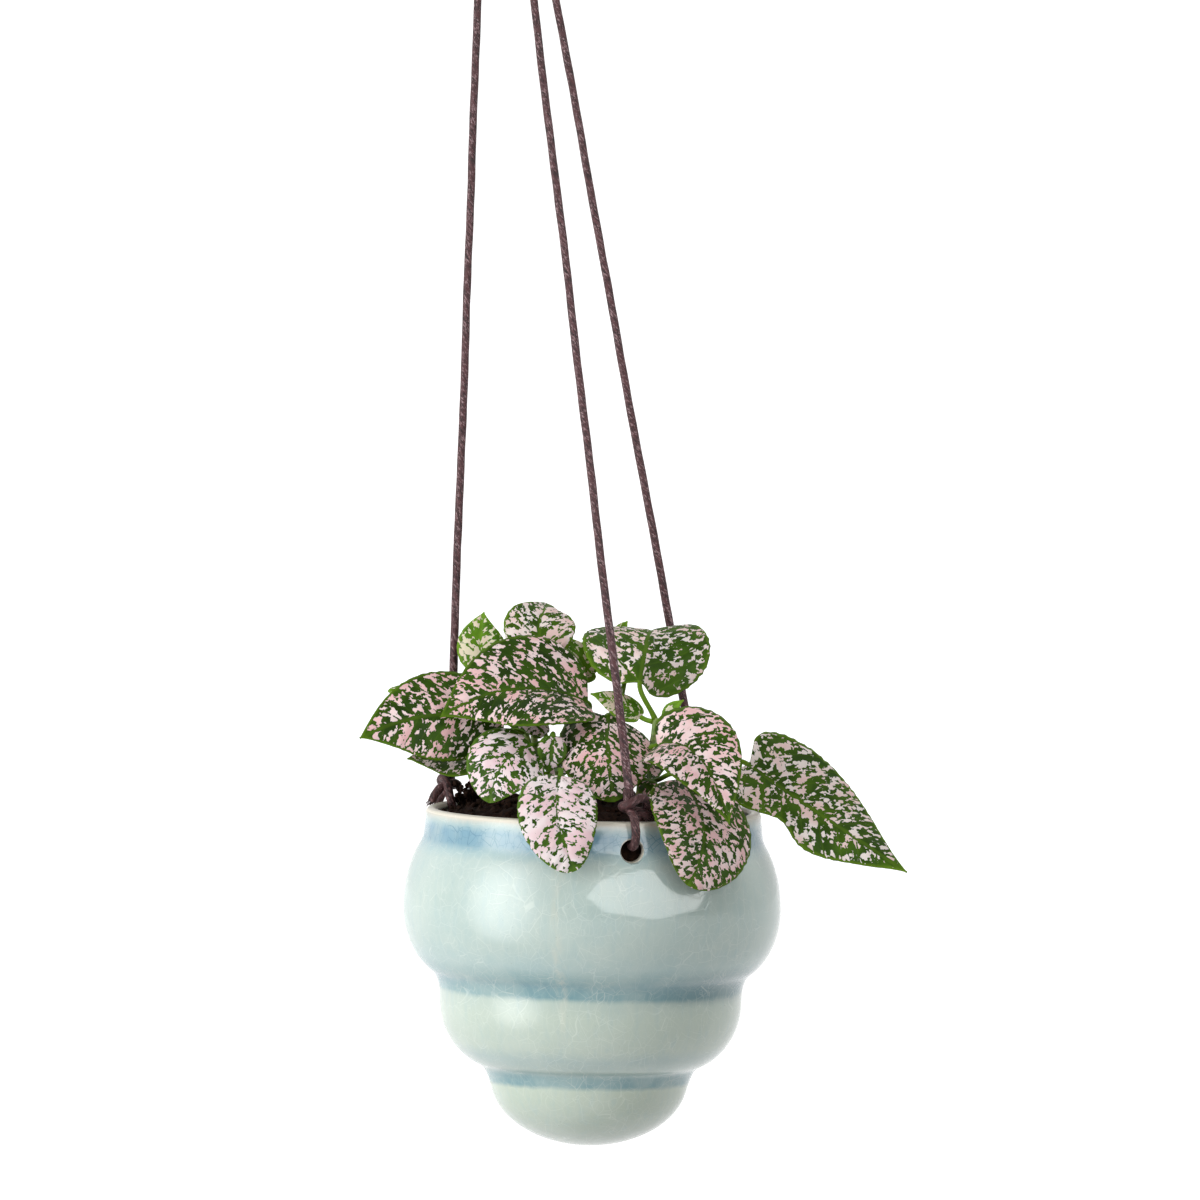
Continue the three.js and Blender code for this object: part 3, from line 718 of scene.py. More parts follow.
dice = random.Random(7)
bm = bmesh.new()
surface = evenly([Vector(point) for point in SOIL_SURFACE], 0.8)
body = evenly([Vector((53.8, -11)), *[Vector(point) for point in wall_face(WALL + 0.3)]], 6)
turned(bm, [*surface, *body], SOIL_STEPS)
for vertex in bm.verts:
    spot = (vertex.co - RIM) / MM
    if spot.z > -3.4:
        rough = noise.fractal(spot * CLODS[0], 1.0, 2.0, 3) * CLODS[1]
        rough += noise.fractal(spot * GRIT[0], 0.8, 2.0, 4) * GRIT[1]
        edge = min(max((53 - spot.xy.length) / 4, 0), 1)
        vertex.co.z += (0.3 + rough) * edge * MM


def fibre(bm, start, way, length, thick):
    """A bent root hair; gives its middle and tip."""
    bend = Vector([dice.uniform(-1, 1) for _ in range(3)]) * length * 0.35
    tip = start + way * length
    middle = start.lerp(tip, 0.5) + bend
    path = smooth_path([start, middle, tip], length / 4)
    tube(bm, path, lambda along, angle: thick * (1 - 0.7 * along), 5)
    return middle, tip


for _ in range(CRUMBS):
    out, angle = 52.5 * math.sqrt(dice.random()), dice.uniform(0, math.tau)
    size = dice.uniform(*CRUMB_SIZES)
    made = bmesh.ops.create_icosphere(bm, subdivisions=2, radius=size * MM)["verts"]
    middle = RIM + Vector((out * math.cos(angle), out * math.sin(angle), soil_height(out) + 0.8)) * MM
    stretch = Vector([dice.uniform(0.6, 1.2) for _ in range(3)])
    for vertex in made:
        lump = 1 + 0.35 * noise.noise(vertex.co / MM * 1.4 + middle * 900)
        vertex.co = vertex.co * stretch * lump + middle
for _ in range(FIBRES):
    out, angle = 51 * math.sqrt(dice.random()), dice.uniform(0, math.tau)
    start = RIM + Vector((out * math.cos(angle), out * math.sin(angle), soil_height(out))) * MM
    way = Vector((dice.uniform(-1, 1), dice.uniform(-1, 1), dice.uniform(0.1, 0.8))).normalized()
    fibre(bm, start, way, dice.uniform(*FIBRE_LENGTHS) * MM, FIBRE_THICK * MM)
for _ in range(TUFT_FIBRES):
    turn = math.radians(dice.uniform(*TUFT_ANGLES))
    out = dice.uniform(*TUFT_OUT)
    start = RIM + Vector((out * math.sin(turn), -out * math.cos(turn), soil_height(out) - 0.5)) * MM
    way = Vector((dice.uniform(-0.5, 0.5), dice.uniform(-0.5, 0.5), 1)).normalized()
    length, thick = dice.uniform(*TUFT_LENGTHS), dice.uniform(*TUFT_THICK)
    for caught in fibre(bm, start, way, length * MM, thick * MM):
        size = dice.uniform(*TUFT_LUMPS)
        made = bmesh.ops.create_icosphere(bm, subdivisions=2, radius=size * MM)["verts"]
        for vertex in made:
            vertex.co = vertex.co * (1 + 0.4 * noise.noise(vertex.co / MM + start * 800)) + caught
soil = finished(bm, "peat_soil", soil_material())
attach(soil, "root")
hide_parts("soil")


# ---- stems ----
# Soft square-ish stems rooted in the soil, thicker at the joints where leaves grow, green with a
# red-brown tint low down. Each is a foot in the soil and then its joints, in mm from the rim.
STEM_RADIUS = 1.3
STEM_TAPER, JOINT_SWELL = 0.12, 0.16  # shares of the radius
JOINT_REACH = 1.6
STEM_SIDES = 16
STEMS = {
    "centre": [(-4, 2, -16), (-3, 0, 14), (-2, 1, 29), (-6, 5, 43)],
    "left": [(-16, -4, -16), (-20, -4, 13), (-24, -1, 26), (-27, 5, 37)],
    "front": [(-12, -16, -16), (-12, -20, 7), (-12.5, -21, 15), (-16, -17, 24)],
    "right": [(14, -5, -16), (16, -9, 11), (19.5, -12, 23), (20.8, -11, 31)],
    "right_low": [(28, -8, -16), (30, -10, 3), (31, -10, 12)],
    "back": [(6, 15, -16), (8, 19, 13), (5, 18, 27), (8, 20, 39)],
    "back_left": [(-16, 14, -16), (-20, 16, 12), (-21, 16, 24)],
}


def stem_material():
    finish = {"Roughness": 0.45, "Subsurface Weight": 0.1, "Subsurface Scale": 0.8 * MM}
    made, tree, shader = new_material("stem_skin", finish)
    along = times(tree, skin_axes(tree)[1], 1 / MM)
    spot = body_place(tree)
    flush = between(tree, grain(tree, spot, 7 * MM, 3), 0.35, 0.6)
    low = between(tree, along, 34.0, 14.0)
    colour = blended(tree, between(tree, grain(tree, spot, 1.2 * MM, 3), 0.35, 0.7), "557A2C", "86A548")
    red = times(tree, flush, work(tree, "MULTIPLY_ADD", low, 0.6, 0.25))
    plug(tree, shader.inputs["Base Color"], blended(tree, red, colour, "7C5138"))
    hairs = grain(tree, spot, 0.5 * MM, 2)
    plug(tree, shader.inputs["Normal"], bumped(tree, hairs, 0.3, 0.2 * MM))
    return made


STEM_SKIN = stem_material()
for name, joints in STEMS.items():
    spots = [RIM + Vector(joint) * MM for joint in joints]
    spots.append(spots[-1] + (spots[-1] - spots[-2]).normalized() * STEM_RADIUS * MM)
    route = smooth_path(spots, MM)

    def jointed(along, angle):
        here = route[round(along * (len(route) - 1))]
        nearest = min((here - joint).length for joint in spots[1:-1]) / MM
        swell = JOINT_SWELL * math.exp(-((nearest / JOINT_REACH) ** 2))
        return STEM_RADIUS * MM * (0.92 - STEM_TAPER * along + swell)

    bm = bmesh.new()
    tube(bm, route, jointed, STEM_SIDES)
    stem = finished(bm, f"plant_stem_{name}", STEM_SKIN)
    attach(stem, "root")
    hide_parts(f"stem_{name}")


# ---- leaves ----
# Thin soft leaves on short stalks, in one skin each. Deep green, flecked with pink between the
# veins and green along the edge; the oldest are nearly all pink, the youngest yellow-green.
COLUMN, ROW, STALK_ROW = 0.8, 0.9, 1.2  # mm between the vertices of a blade and of a stalk
STALK_RADIUS, STALK_FLARE = 0.85, 0.25  # a stalk is wider by this share where it leaves the stem
BLADE_THICK = 0.5
BLADE_TIP = 0.7  # the least width, at its two ends
SOCKET = 0.06  # the first row's place on the half wave that spaces the blade's rows
HANDLE = 0.35  # the share of a stalk's reach over which each end keeps its direction
FLATTEN_ROWS = 4  # in which the round stalk turns into the flat blade
VEIN_SLANT, VEIN_CURVE = 0.8, 0.015  # how steeply the side veins run back to the midrib
MIDRIB_DEPTH, VEIN_DEPTH = 0.40, 0.50
EDGE_WAVE = 0.012  # a share of the blade's width
RUFFLE, QUILT = 0.45, 0.5  # how far the edge and the middle go up and down
WAIST_REACH = 0.13  # a share of the blade's length
EDGE_WIDTH = 1.7  # of the green edge
PINK_SHARES = {"dark": 0.44, "pale": 0.66, "young": 0.56}

# Most leaves share these: how early the blade is widest and how blunt its tip is; the widths of
# its left and right half; a waist where the right half draws in, and by how much; how far the
# base lobes reach back, in half widths; how each half lifts at the base and then at the tip, and
# how it curls down, in degrees.
USUAL_LEAF = {
    "fullness": 0.8, "blunt": 1.05, "halves": (1, 1), "waist": (0.4, 0), "lobes": (0.26, 0.26),
    "lift": (10, 10, 10, 10), "curl": (25, 25),
}

# Each leaf: the stem and joint it grows from, its midrib's base, middle and tip in mm from the
# rim, its greatest width and the way its upper side faces; out is how its stalk sets off.
LEAVES = {
    "far_left": dict(
        stem=("left", 2), rib=((-31, -7, 30), (-56, -12, 32), (-80.5, -15, 24)), width=33,
        face=(-0.1, -0.95, 0.35), lift=(0, -5, 0, 5), curl=(20, 15), pink=0.4, color="dark",
    ),
    "upper_left": dict(
        stem=("centre", 2), rib=((-3, -7, 37), (-28, -14, 41.5), (-53, -20, 32)), width=44,
        fullness=0.68, face=(0, -0.9, 0.45), lift=(56, 0, 14, 0), curl=(15, 20), out=(-0.8, -0.6, 0.5),
        lobes=(0.35, -0.1), pink=0.4, color="dark",
    ),
    "top": dict(
        stem=("centre", 3), rib=((-19, 7, 50), (-19.5, 12, 64), (-16, 25, 68.5)), width=25,
        face=(0, -0.8, 0.6), curl=(20, 20), out=(-1, 0.5, 0.5), pink=0.56, color="dark", skin="painted_lit",
    ),
    "top_left": dict(
        stem=("left", 3), rib=((-38, 10, 47), (-40, 14, 56), (-39, 16, 66)), width=17,
        face=(-0.1, -0.95, 0.3), out=(-0.5, 0.9, 0.5), pink=0.57, color="young",
    ),
    "left_tip": dict(
        stem=("left", 3), rib=((-52, 5, 38), (-62, 6, 39), (-71.5, 7, 39)), width=11,
        face=(0.1, -0.5, 0.85), out=(-1, 0.2, -0.4), blunt=0.6, color="young",
    ),
    "low_left": dict(
        stem=("left", 1), rib=((-37, -2, 19), (-51, -4, 16.5), (-64, -8, 17)), width=24,
        face=(0, -0.42, 0.9), out=(-1, 0.1, -0.1), pink=0.4, color="pale", skin="painted_lit",
    ),
    "front_left_round": dict(
        stem=("front", 3), rib=((-22, -24, 23), (-31.5, -33, 17), (-35.5, -35, 4)), width=28,
        face=(-0.25, -0.9, 0.35), blunt=0.6, pink=0.6, color="pale",
    ),
    "front_small": dict(
        stem=("front", 3), rib=((-14.2, -25, 26.5), (-14.6, -26.4, 20.5), (-15.5, -26.4, 14)),
        width=10.5, face=(0.1, -0.95, 0.3), color="pale",
    ),
    "front_folded": dict(
        stem=("front", 3), rib=((-17, -13, 26), (-22, -13, 29.5), (-29, -13, 28)), width=11,
        face=(0, -0.55, 0.8), color="pale",
    ),
    "front_tiny": dict(
        stem=("front", 1), rib=((-17, -24, 13.5), (-20, -25, 12.5), (-23.5, -26, 10.5)), width=6,
        face=(0, -0.7, 0.7), out=(-1, -0.3, 0.1), color="young",
    ),
    "front_drooping": dict(
        stem=("front", 2), rib=((-11.7, -44, 14), (-11.8, -62, 1), (-5.8, -68, -16)), width=27.5,
        face=(0, -0.9, 0.5), out=(0.1, -1, -0.05), blunt=0.46, lobes=(0.4, 0.4), pink=0.74,
        color="pale",
    ),
    "centre": dict(
        stem=("centre", 2), rib=((4.5, -12, 32.5), (4.5, -28, 21), (7, -34, 5)), width=35,
        face=(0, -0.85, 0.5), lift=(-15, -10, 0, 0), curl=(25, 20), out=(0.8, -0.8, 0), blunt=0.6,
        lobes=(0.6, 1.3), pink=0.5, color="dark",
    ),
    "upright_small": dict(
        stem=("right", 3), rib=((15.5, -9, 32.5), (8, -9, 36.7), (-1.6, -11, 40.5)), width=12,
        face=(0.2, -0.7, 0.7), pink=0.68, color="young",
    ),
    "upper_right": dict(
        stem=("right", 3), rib=((15, -10, 44.5), (18, 10, 60), (20, 30, 56)), width=45,
        face=(0, -0.4, 0.9), lift=(0, -52, 5, 45), curl=(10, 20), out=(-0.4, 0.15, 1), blunt=0.75,
        pink=0.34, color="dark", skin="painted_lit",
    ),
    "top_tip": dict(
        stem=("back", 3), rib=((5, 36, 54), (8, 36.5, 59), (10.5, 37, 62.5)), width=5,
        face=(0, -0.8, 0.5), out=(-0.3, 0.5, 1), color="young",
    ),
    # middle_pale wears the young skin, which lets more light through and has lighter greens; the lighter
    # greens are painted light for a leaf in the shade of upper_left.
    "middle_pale": dict(
        stem=("centre", 3), rib=((-1, 9, 45.5), (-5.5, 9, 51.5), (-10.5, 10, 58.5)), width=11,
        face=(0.2, -0.9, 0.3), color="pale", skin="young",
    ),
    "right_arching": dict(
        stem=("right", 2), rib=((21.5, -31, 24.5), (35.5, -45, 21.5), (46, -57, 0)), width=33,
        fullness=0.7, face=(0.1, -0.9, 0.45), lift=(20, 45, 10, 20), curl=(20, 30), lobes=(0.42, 0.42),
        pink=0.56, color="dark",
    ),
    "right_bud": dict(
        stem=("right", 3), rib=((24.6, -13.6, 31), (25.8, -14.6, 35.2), (30, -15.4, 39)), width=6,
        face=(-0.4, -0.9, 0.2), out=(1, -0.6, 0.1), color="young",
    ),
    "right_low": dict(
        stem=("right", 1), rib=((15.5, -19, 10.5), (19, -24, 9), (22.5, -28, 6)), width=7,
        face=(-0.3, -0.7, 0.7), out=(-0.2, -1, 0), color="dark",
    ),
    "right_hanging": dict(
        stem=("right", 1), rib=((30, -35, 13), (37.5, -52, -3), (32, -62, -20.5)), width=40,
        face=(0.5, -0.8, 0.3), out=(0.8, -0.8, -0.2), blunt=0.5, pink=0.5, color="dark",
    ),
    "far_right": dict(
        stem=("right_low", 2), rib=((52.5, -19, 17.5), (78, -28.5, 1), (107, -36, -17)), width=38.5,
        fullness=0.6, face=(0.04, -0.9, 0.42), lift=(0, 30, -25, 5), curl=(20, 30), halves=(1.08, 0.9),
        waist=(0.36, 0.4), lobes=(0.62, 0.62), pink=0.41, color="dark", skin="painted_lit",
    ),
    "back_left": dict(
        stem=("centre", 1), rib=((-14, 18, 33), (-27, 29, 37), (-40, 40, 29)), width=27,
        face=(-0.3, 0.6, 0.75), out=(-0.4, 1, 0.3), color="dark",
    ),
    "back_low_left": dict(
        stem=("back_left", 1), rib=((-28, 26, 19), (-36, 38, 17), (-41, 52, 5)), width=23,
        face=(-0.2, 0.4, 0.9), color="dark",
    ),
    "back_high_left": dict(
        stem=("centre", 3), rib=((-16, 25, 46), (-21, 38, 49), (-26, 50, 43)), width=24,
        face=(0, 0.3, 0.95), out=(-0.2, 1, 0.2), color="dark",
    ),
    "back_middle": dict(
        stem=("back", 1), rib=((-6, 31, 20), (-10, 45, 18), (-14, 61, 3)), width=23,
        face=(-0.1, 0.4, 0.9), color="pale",
    ),
    "back_right": dict(
        stem=("back", 1), rib=((14, 30, 20), (17, 44, 18), (20, 60, 3)), width=24, face=(0.1, 0.4, 0.9),
        color="dark",
    ),
    "back_high_right": dict(
        stem=("back", 2), rib=((10, 31, 43), (11, 43, 46.5), (12, 54, 42)), width=20,
        face=(0.1, 0.3, 0.95), out=(0.3, 1, 0), color="dark",
    ),
    "back_upper": dict(
        stem=("right", 2), rib=((25, 14, 29), (34, 26, 31), (41, 38, 24)), width=20,
        face=(0.2, 0.3, 0.9), out=(0.6, 1, 0.3), color="young",
    ),
    "back_side": dict(
        stem=("right_low", 2), rib=((44, 4, 11.5), (57, 17, 12), (68, 29, 1)), width=26,
        face=(0.3, 0.2, 0.9), out=(1, 0.8, 0.2), color="pale",
    ),
}


def spot_pattern():
    """A node group: where a leaf is pink, where its veins and edge are, and its fine relief."""
    gives = ("Spots", "Veins", "Edge", "Relief", "Cloud")
    group, given = new_group("polka_dots", {"Edge Width": EDGE_WIDTH}, gives)
    across, along = skin_axes(group)
    off = work(group, "ABSOLUTE", across)
    marks = {
        name: add(group, "ShaderNodeAttribute", attribute_name=name).outputs["Fac"]
        for name in ("margin", "pink", "seed", "vein_gap")
    }
    plain = add(group, "ShaderNodeCombineXYZ", {"X": across, "Y": along}).outputs[0]

    # Flecks, drawn out from the midrib towards the edge, and larger blots.
    swayed = add(group, "ShaderNodeTexNoise", {"Vector": plain, "Scale": 0.8, "Detail": 3.0})
    swayed = vector_work(group, "SCALE", swayed.outputs["Color"], by=1.5)
    outward = times(group, work(group, "ADD", off, along), 0.47)
    beside = times(group, work(group, "SUBTRACT", along, off), 0.82)
    slanted = add(group, "ShaderNodeCombineXYZ", {"X": outward, "Y": beside}).outputs[0]
    slanted = vector_work(group, "ADD", slanted, swayed)
    own = work(group, "MULTIPLY_ADD", work(group, "SIGN", across), 3.0, marks["seed"])
    sides = {"Vector": slanted, "W": own, "Scale": 0.76}
    flecks = add(group, "ShaderNodeTexVoronoi", sides, voronoi_dimensions="4D").outputs["Color"]
    flecks = add(group, "ShaderNodeSeparateColor", {0: flecks}).outputs[0]
    blots = between(group, grain(group, plain, 3.4, 2, 0.5, W=own), 0.3, 0.7)
    value = work(group, "ADD", times(group, flecks, 0.66), times(group, blots, 0.34))

    # Veins and the edge, which both stay green.
    slant = times(group, off, work(group, "MULTIPLY_ADD", off, VEIN_CURVE, VEIN_SLANT))
    vein = work(group, "DIVIDE", work(group, "SUBTRACT", along, slant), marks["vein_gap"])
    vein = work(group, "ABSOLUTE", work(group, "SUBTRACT", work(group, "FRACT", vein), 0.5))
    vein = times(group, work(group, "SUBTRACT", 0.5, vein), marks["vein_gap"])
    side_veins = between(group, vein, 0.6, 0.12)
    middle_vein = between(group, off, 1.0, 0.3)
    veins = work(group, "MAXIMUM", middle_vein, times(group, side_veins, 0.5))
    edge = between(group, marks["margin"], given["Edge Width"], 0.2)
    level = work(group, "MULTIPLY_ADD", marks["pink"], -0.68, 0.845)
    level = work(group, "ADD", level, times(group, veins, 0.32))
    level = work(group, "ADD", level, times(group, edge, 0.3))
    spots = between(group, work(group, "SUBTRACT", value, level), -0.006, 0.006)
    fine = grain(group, plain, 0.45, 2, 0.5, W=marks["seed"])
    relief = work(group, "ADD", fine, times(group, spots, 0.25))
    cloud = grain(group, plain, 9.0, 2, 0.5, W=work(group, "ADD", marks["seed"], 21.0))
    give(group, Spots=spots, Veins=veins, Edge=edge, Relief=relief, Cloud=cloud)
    return group


POLKA_DOTS = spot_pattern()


def leaf_material(name, greens, pinks, glow):
    """Two greens and a paler one for the veins, two pinks, and the share of light let through."""
    made, tree, shader = new_material(name, {"Roughness": 0.48, "Specular IOR Level": 0.16})
    dots = add(tree, "ShaderNodeGroup", {"Edge Width": EDGE_WIDTH}, node_tree=POLKA_DOTS).outputs
    cloud = between(tree, dots["Cloud"], 0.35, 0.65)
    green = blended(tree, cloud, greens[0], greens[1])
    green = blended(tree, times(tree, dots["Veins"], 0.22), green, greens[2])
    green = blended(tree, times(tree, dots["Edge"], 0.5), green, greens[2])
    pink = blended(tree, cloud, pinks[0], pinks[1])
    colour = blended(tree, dots["Spots"], green, pink)
    plug(tree, shader.inputs["Base Color"], colour)
    plug(tree, shader.inputs["Normal"], bumped(tree, dots["Relief"], 0.35, 0.15 * MM))
    through = add(tree, "ShaderNodeBsdfTranslucent", {"Color": blended(tree, 0.12, colour, "9CC43C")})
    both = add(tree, "ShaderNodeMixShader", {0: glow, 1: shader.outputs[0], 2: through.outputs[0]})
    plug(tree, tree.nodes["Material Output"].inputs["Surface"], both.outputs[0])
    return made


# One skin is a lighter copy of the dark one, with paler greens and pinks: painted light, for leaves that
# the lamps leave too dim.
LEAF_SKINS = {
    "dark": leaf_material("dark_leaf", ("243E04", "395C08", "6C901A"), ("FFEBEA", "F7CACC"), 0.22),
    "painted_lit": leaf_material("sunlit_leaf", ("31500A", "4A6E10", "7FA526"), ("FFF5F1", "F9DCD8"), 0.26),
    "pale": leaf_material("pale_leaf", ("2B4A0A", "426616", "6C942A"), ("FFF4F5", "F9DAE0"), 0.22),
    "young": leaf_material("young_leaf", ("487614", "6F9E20", "8DB834"), ("F7F1D6", "F3DECB"), 0.3),
}


def midrib(leaf, t):
    """A point and direction on a leaf's midrib, which passes through its base, mid and tip."""
    base, mid, tip = map(Vector, leaf["rib"])
    point = base * (1 - t) * (1 - 2 * t) + mid * 4 * t * (1 - t) + tip * t * (2 * t - 1)
    along = base * (4 * t - 3) + mid * (4 - 8 * t) + tip * (4 * t - 1)
    return point, along.normalized()


def stalk(leaf):
    """The four corners of the curve from the stem to the base of the blade."""
    stem, number = leaf["stem"]
    joint = Vector(STEMS[stem][number])
    point, along = midrib(leaf, 0)
    reach = point - joint
    outward = Vector(leaf.get("out", (reach.x, reach.y, reach.z * 0.3))).normalized()
    start = joint + outward * 0.9  # inside the stem's skin
    span = (point - start).length
    return start, start + outward * span * HANDLE, point - along * span * HANDLE, point


def half_width(leaf, t, right, length, seed):
    """How wide one half of a blade is, with its waist and its finely waved edge."""
    power = 0.55 + (leaf["blunt"] - 0.55) * t
    swell = max(math.sin(math.pi * t ** leaf["fullness"]), 0) ** power
    half = max(leaf["width"] * swell, BLADE_TIP) / 2 * leaf["halves"][right]
    half *= 1 + EDGE_WAVE * math.sin(t * length * 2.1 + seed) * min(1, 3 * (1 - t))
    where, depth = leaf["waist"]
    return half * (1 - right * depth * math.exp(-(((t - where) / WAIST_REACH) ** 2)))


def vein_depth(x, y, half, vein_gap):
    """How deep the midrib and side veins lie, x from the midrib and y along it."""
    forward = y - x * (VEIN_SLANT + VEIN_CURVE * x)
    to_vein = (0.5 - abs((forward / vein_gap) % 1 - 0.5)) * vein_gap
    inner = min(x / 2.5, 1) * min(1, (half - x) / 2 + 0.2)
    return MIDRIB_DEPTH * math.exp(-((x / 0.8) ** 2)) + VEIN_DEPTH * inner * math.exp(-(to_vein**2))


def leaf_skin(bm, leaf, seed):
    """One closed skin: a round stalk that flattens into the blade."""
    lift, face = leaf["lift"], Vector(leaf["face"])
    a, b, c, d = stalk(leaf)
    ribs = [midrib(leaf, i / 60)[0] for i in range(61)]
    length = sum((there - here).length for here, there in zip(ribs, ribs[1:]))
    stalk_length = (b - a).length + (c - b).length + (d - c).length
    stalk_rows = max(5, round(stalk_length / STALK_ROW))
    blade_rows = max(14, round(length / ROW))
    rows = stalk_rows + blade_rows + 2
    columns = 2 * max(10, round(leaf["width"] / COLUMN))
    vein_gap = max(2.6, length / 8.5)
    marks = (leaf.get("pink", PINK_SHARES[leaf["color"]]), seed, vein_gap)

    def on_stalk(row, wide, over):
        t = min(max(row - 1, 0) / stalk_rows, 1)
        point = a * (1 - t) ** 3 + b * 3 * t * (1 - t) ** 2 + c * 3 * t * t * (1 - t) + d * t**3
        ahead = ((b - a) * (1 - t) ** 2 + (c - b) * 2 * t * (1 - t) + (d - c) * t * t).normalized()
        side = ahead.cross(face).normalized()
        size = 0 if row == 0 else STALK_RADIUS * (1 + STALK_FLARE * (1 - min(4 * t, 1)))
        spot = point + (side * wide + side.cross(ahead) * over) * size
        return RIM + spot * MM, (wide * 0.5, (t - 1) * stalk_length), 0.0, *marks

    def on_blade(row, share, top, thick):
        """share runs over the blade from -1 at its left edge to 1 at its right edge."""
        step = min((row - stalk_rows - 1) / blade_rows, 1)
        t = 0.5 - 0.5 * math.cos(math.pi * (SOCKET + (1 - SOCKET) * step))
        point, ahead = midrib(leaf, t)
        side = ahead.cross(face).normalized()
        normal = side.cross(ahead)
        off, right = abs(share), share > 0
        sign = 1 if right else -1
        half = half_width(leaf, t, right, length, seed)
        x, y = half * off, t * length
        raised = math.radians(lift[right] + (lift[2 + right] - lift[right]) * t)
        bend = math.radians(leaf["curl"][right])
        slope = raised - bend * off
        out = half * (math.sin(raised) - math.sin(slope)) / bend
        rise = half * (math.cos(slope) - math.cos(raised)) / bend - vein_depth(x, y, half, vein_gap)
        ruffled = noise.noise(Vector((y * 0.16, seed, right * 3.0)))
        quilted = noise.noise(Vector((share * 1.3, t * 3, seed)))
        rise += RUFFLE * off**3 * ruffled * min(half / 6, 1.6) + QUILT * quilted * min(half / 10, 1)
        thick *= math.sqrt(max(1 - off**6, 0))
        if not top:
            thick -= STALK_RADIUS * (1 - t) * math.exp(-((x / 0.9) ** 2))
        lobe = leaf["lobes"][right] * half * off**1.5 * (1 - t) ** 3
        spot = point + side * sign * (out - thick * math.sin(slope))
        spot += normal * (rise + thick * math.cos(slope)) - ahead * lobe
        if row == rows:
            spot = point + normal * rise
        margin = min((1 - off) * half, (1 - t) * length * 0.6)
        return RIM + spot * MM, (sign * x, y), margin, *marks

    def place(across, along):
        """Over the upper side from left to right, and back under the lower one."""
        row = round(along * rows)
        angle = across * math.tau
        wide, over = -math.cos(angle), math.sin(angle)
        if row <= stalk_rows + 1:
            return on_stalk(row, wide, over)
        top = across <= 0.5
        flat = 4 * across - 1 if top else 3 - 4 * across
        still_round = max(0, 1 - (row - stalk_rows - 1) / FLATTEN_ROWS)
        thick = 0 if across in (0, 1) else BLADE_THICK / 2 * (1 if top else -1)
        return on_blade(row, flat + (wide - flat) * still_round, top, thick)

    made = bent_grid(bm, columns, rows, place, ("margin", "pink", "seed", "vein_gap"))
    bmesh.ops.remove_doubles(bm, verts=made, dist=2e-6)


for number, (name, own) in enumerate(LEAVES.items()):
    leaf = {**USUAL_LEAF, **own}
    bm = bmesh.new()
    leaf_skin(bm, leaf, random.Random(number).uniform(0, 90))
    piece = finished(bm, f"spotted_leaf_{name}", LEAF_SKINS[leaf.get("skin", leaf["color"])])
    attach(piece, "root")
    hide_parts(f"leaf_{name}")


# ---- studio ----
# A white sweep far below, a wide soft light from the left front that fades to its edges, an
# eight-sided softbox on the right, as the glaze mirrors them, and a weak fill from above.
FLOOR_DROP, FLOOR_RADIUS = 1.4, 60
PAPER_LIT, PAPER_SEEN = 0.12, 0.88  # how the paper glows, and how much more it does to the eye
ROOM_FRONT, ROOM_BACK, ROOM_SEEN = 0.16, 0.9, 1.2
ROOM_TURN = (-0.35, 0.6)  # where the room starts and stops brightening from the front to the back
LIGHT_FADE = (0.52, 0.05)  # where the wide light is dark and full, from its middle
VEIL = 0.16  # how bright the wide light's edges still look where they are mirrored
SOFT_LIGHTS = {
    # azimuth from the camera towards the right, elevation, distance, size, strength, and how
    # much stronger it is where it is mirrored
    "wide_softbox": (-57.5, 4, 1.5, (1.9, 3.2), 5.6, 0.2),
    "eight_sided_softbox": (37, 16.5, 1.6, (2.6, 1.25), 1.1, 3.8),
    "high_fill": (28, 66, 1.6, (1.2, 1.2), 1.9, -1.0),
}


def glow_material(name, strength, mirrored, fading):
    """A light that looks brighter or darker by the share mirrored where it is mirrored."""
    made = bpy.data.materials.new(name)
    made.use_nodes = True
    tree = made.node_tree
    tree.nodes.clear()
    glossy = add(tree, "ShaderNodeLightPath").outputs["Is Glossy Ray"]
    power = work(tree, "MULTIPLY_ADD", glossy, mirrored * strength, strength)
    if fading:
        away = vector_work(tree, "LENGTH", body_place(tree), output="Value")
        fade = between(tree, away, *LIGHT_FADE)
        fade = work(tree, "MAXIMUM", fade, times(tree, glossy, VEIL))
        power = times(tree, fade, power)
    shine = add(tree, "ShaderNodeEmission", {"Color": (1, 1, 1, 1), "Strength": power})
    end = add(tree, "ShaderNodeOutputMaterial")
    plug(tree, end.inputs["Surface"], shine.outputs[0])
    return made


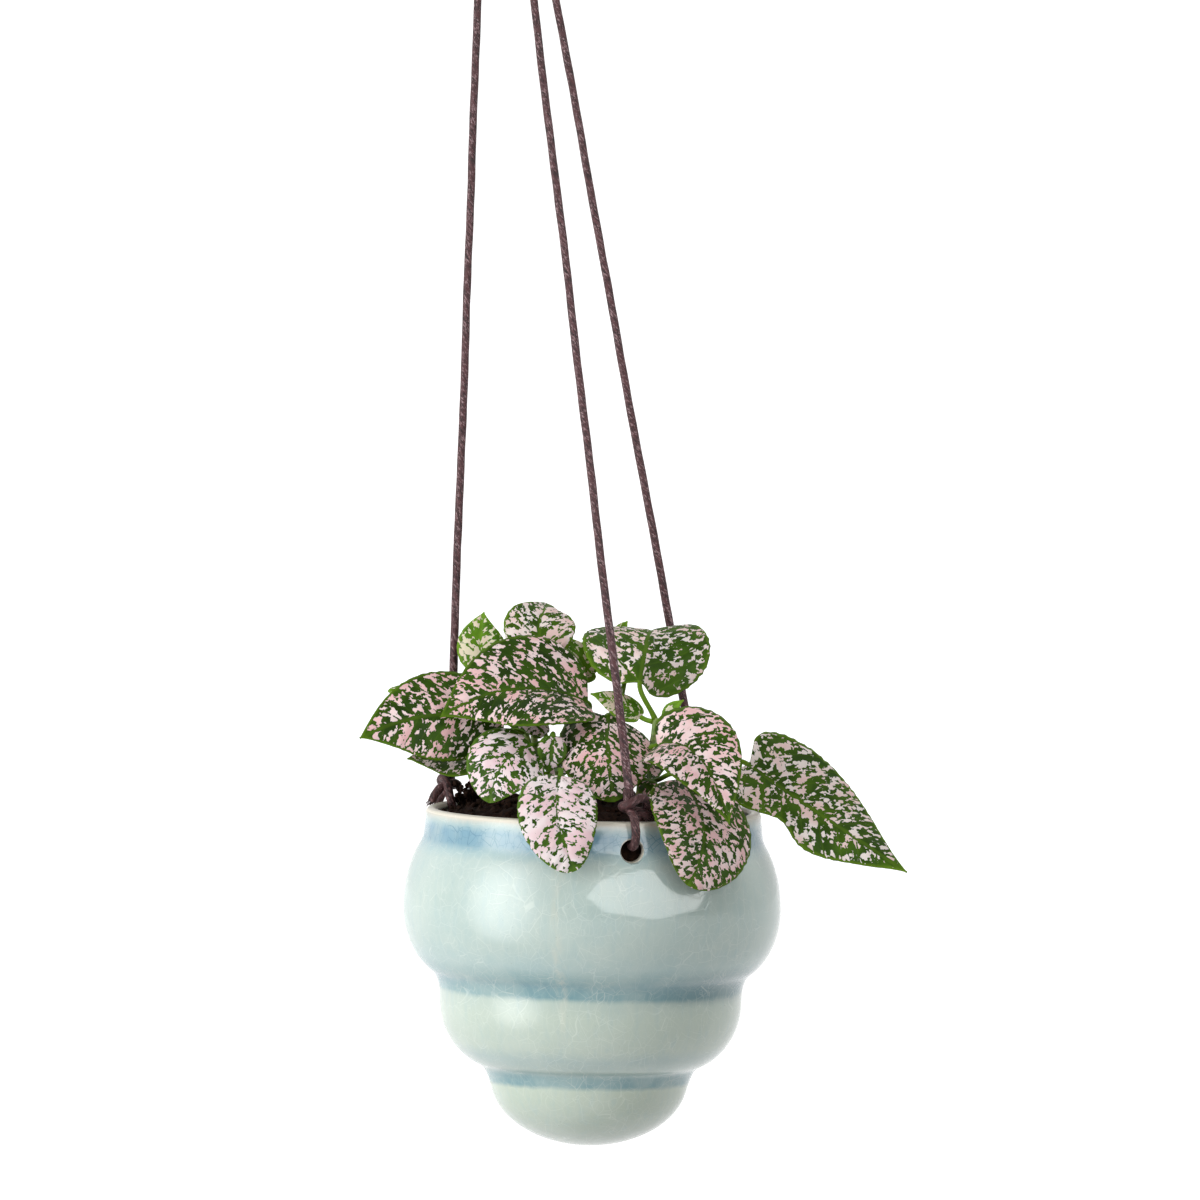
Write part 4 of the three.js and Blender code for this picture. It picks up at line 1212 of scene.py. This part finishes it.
for name, (azimuth, elevation, away, size, strength, mirrored) in SOFT_LIGHTS.items():
    bm = bmesh.new()
    fading = name == "wide_softbox"
    if fading:
        bmesh.ops.create_grid(bm, x_segments=1, y_segments=1, size=0.5)
    else:
        bmesh.ops.create_circle(bm, cap_ends=True, segments=8, radius=0.5)
    softbox = finished(bm, name, glow_material(name, strength, mirrored, fading))
    turn, rise = math.radians(azimuth), math.radians(elevation)
    way = Vector((math.sin(turn) * math.cos(rise), -math.cos(turn) * math.cos(rise), math.sin(rise)))
    facing = way.to_track_quat("Z", "Y").to_matrix().to_4x4()
    standing = Matrix.Translation(LOOK_AT + way * away)
    softbox.matrix_world = standing @ facing @ Matrix.Diagonal((*size, 1, 1))
    softbox.visible_camera = False
    softbox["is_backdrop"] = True

bm = bmesh.new()
bmesh.ops.create_circle(bm, cap_ends=True, segments=64, radius=FLOOR_RADIUS)
finish = {"Base Color": "B4B4B4", "Roughness": 0.9, "Emission Color": "FFFFFF"}
paper, tree, shader = new_material("white_paper", finish)
rays = add(tree, "ShaderNodeLightPath").outputs
seen = work(tree, "MAXIMUM", rays["Is Camera Ray"], rays["Is Glossy Ray"])
plug(tree, shader.inputs["Emission Strength"], work(tree, "MULTIPLY_ADD", seen, PAPER_SEEN, PAPER_LIT))
floor = finished(bm, "white_sweep", paper)
floor.location = (0, 0, RIM.z - FLOOR_DROP)
floor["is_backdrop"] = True

sky = bpy.data.worlds.new("white_room")
bpy.context.scene.world = sky
sky.use_nodes = True
tree = sky.node_tree
tree.nodes.clear()
way = axes(tree, add(tree, "ShaderNodeTexCoord").outputs["Generated"])
behind = between(tree, way["Y"], *ROOM_TURN)
strength = work(tree, "MULTIPLY_ADD", behind, ROOM_BACK, ROOM_FRONT)
seen = add(tree, "ShaderNodeLightPath").outputs["Is Camera Ray"]
strength = work(tree, "MAXIMUM", strength, times(tree, seen, ROOM_SEEN))
room = add(tree, "ShaderNodeBackground", {"Color": (1, 1, 1, 1), "Strength": strength})
plug(tree, add(tree, "ShaderNodeOutputWorld").inputs["Surface"], room.outputs[0])
bpy.context.scene.view_settings.view_transform = "Standard"


low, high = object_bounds()
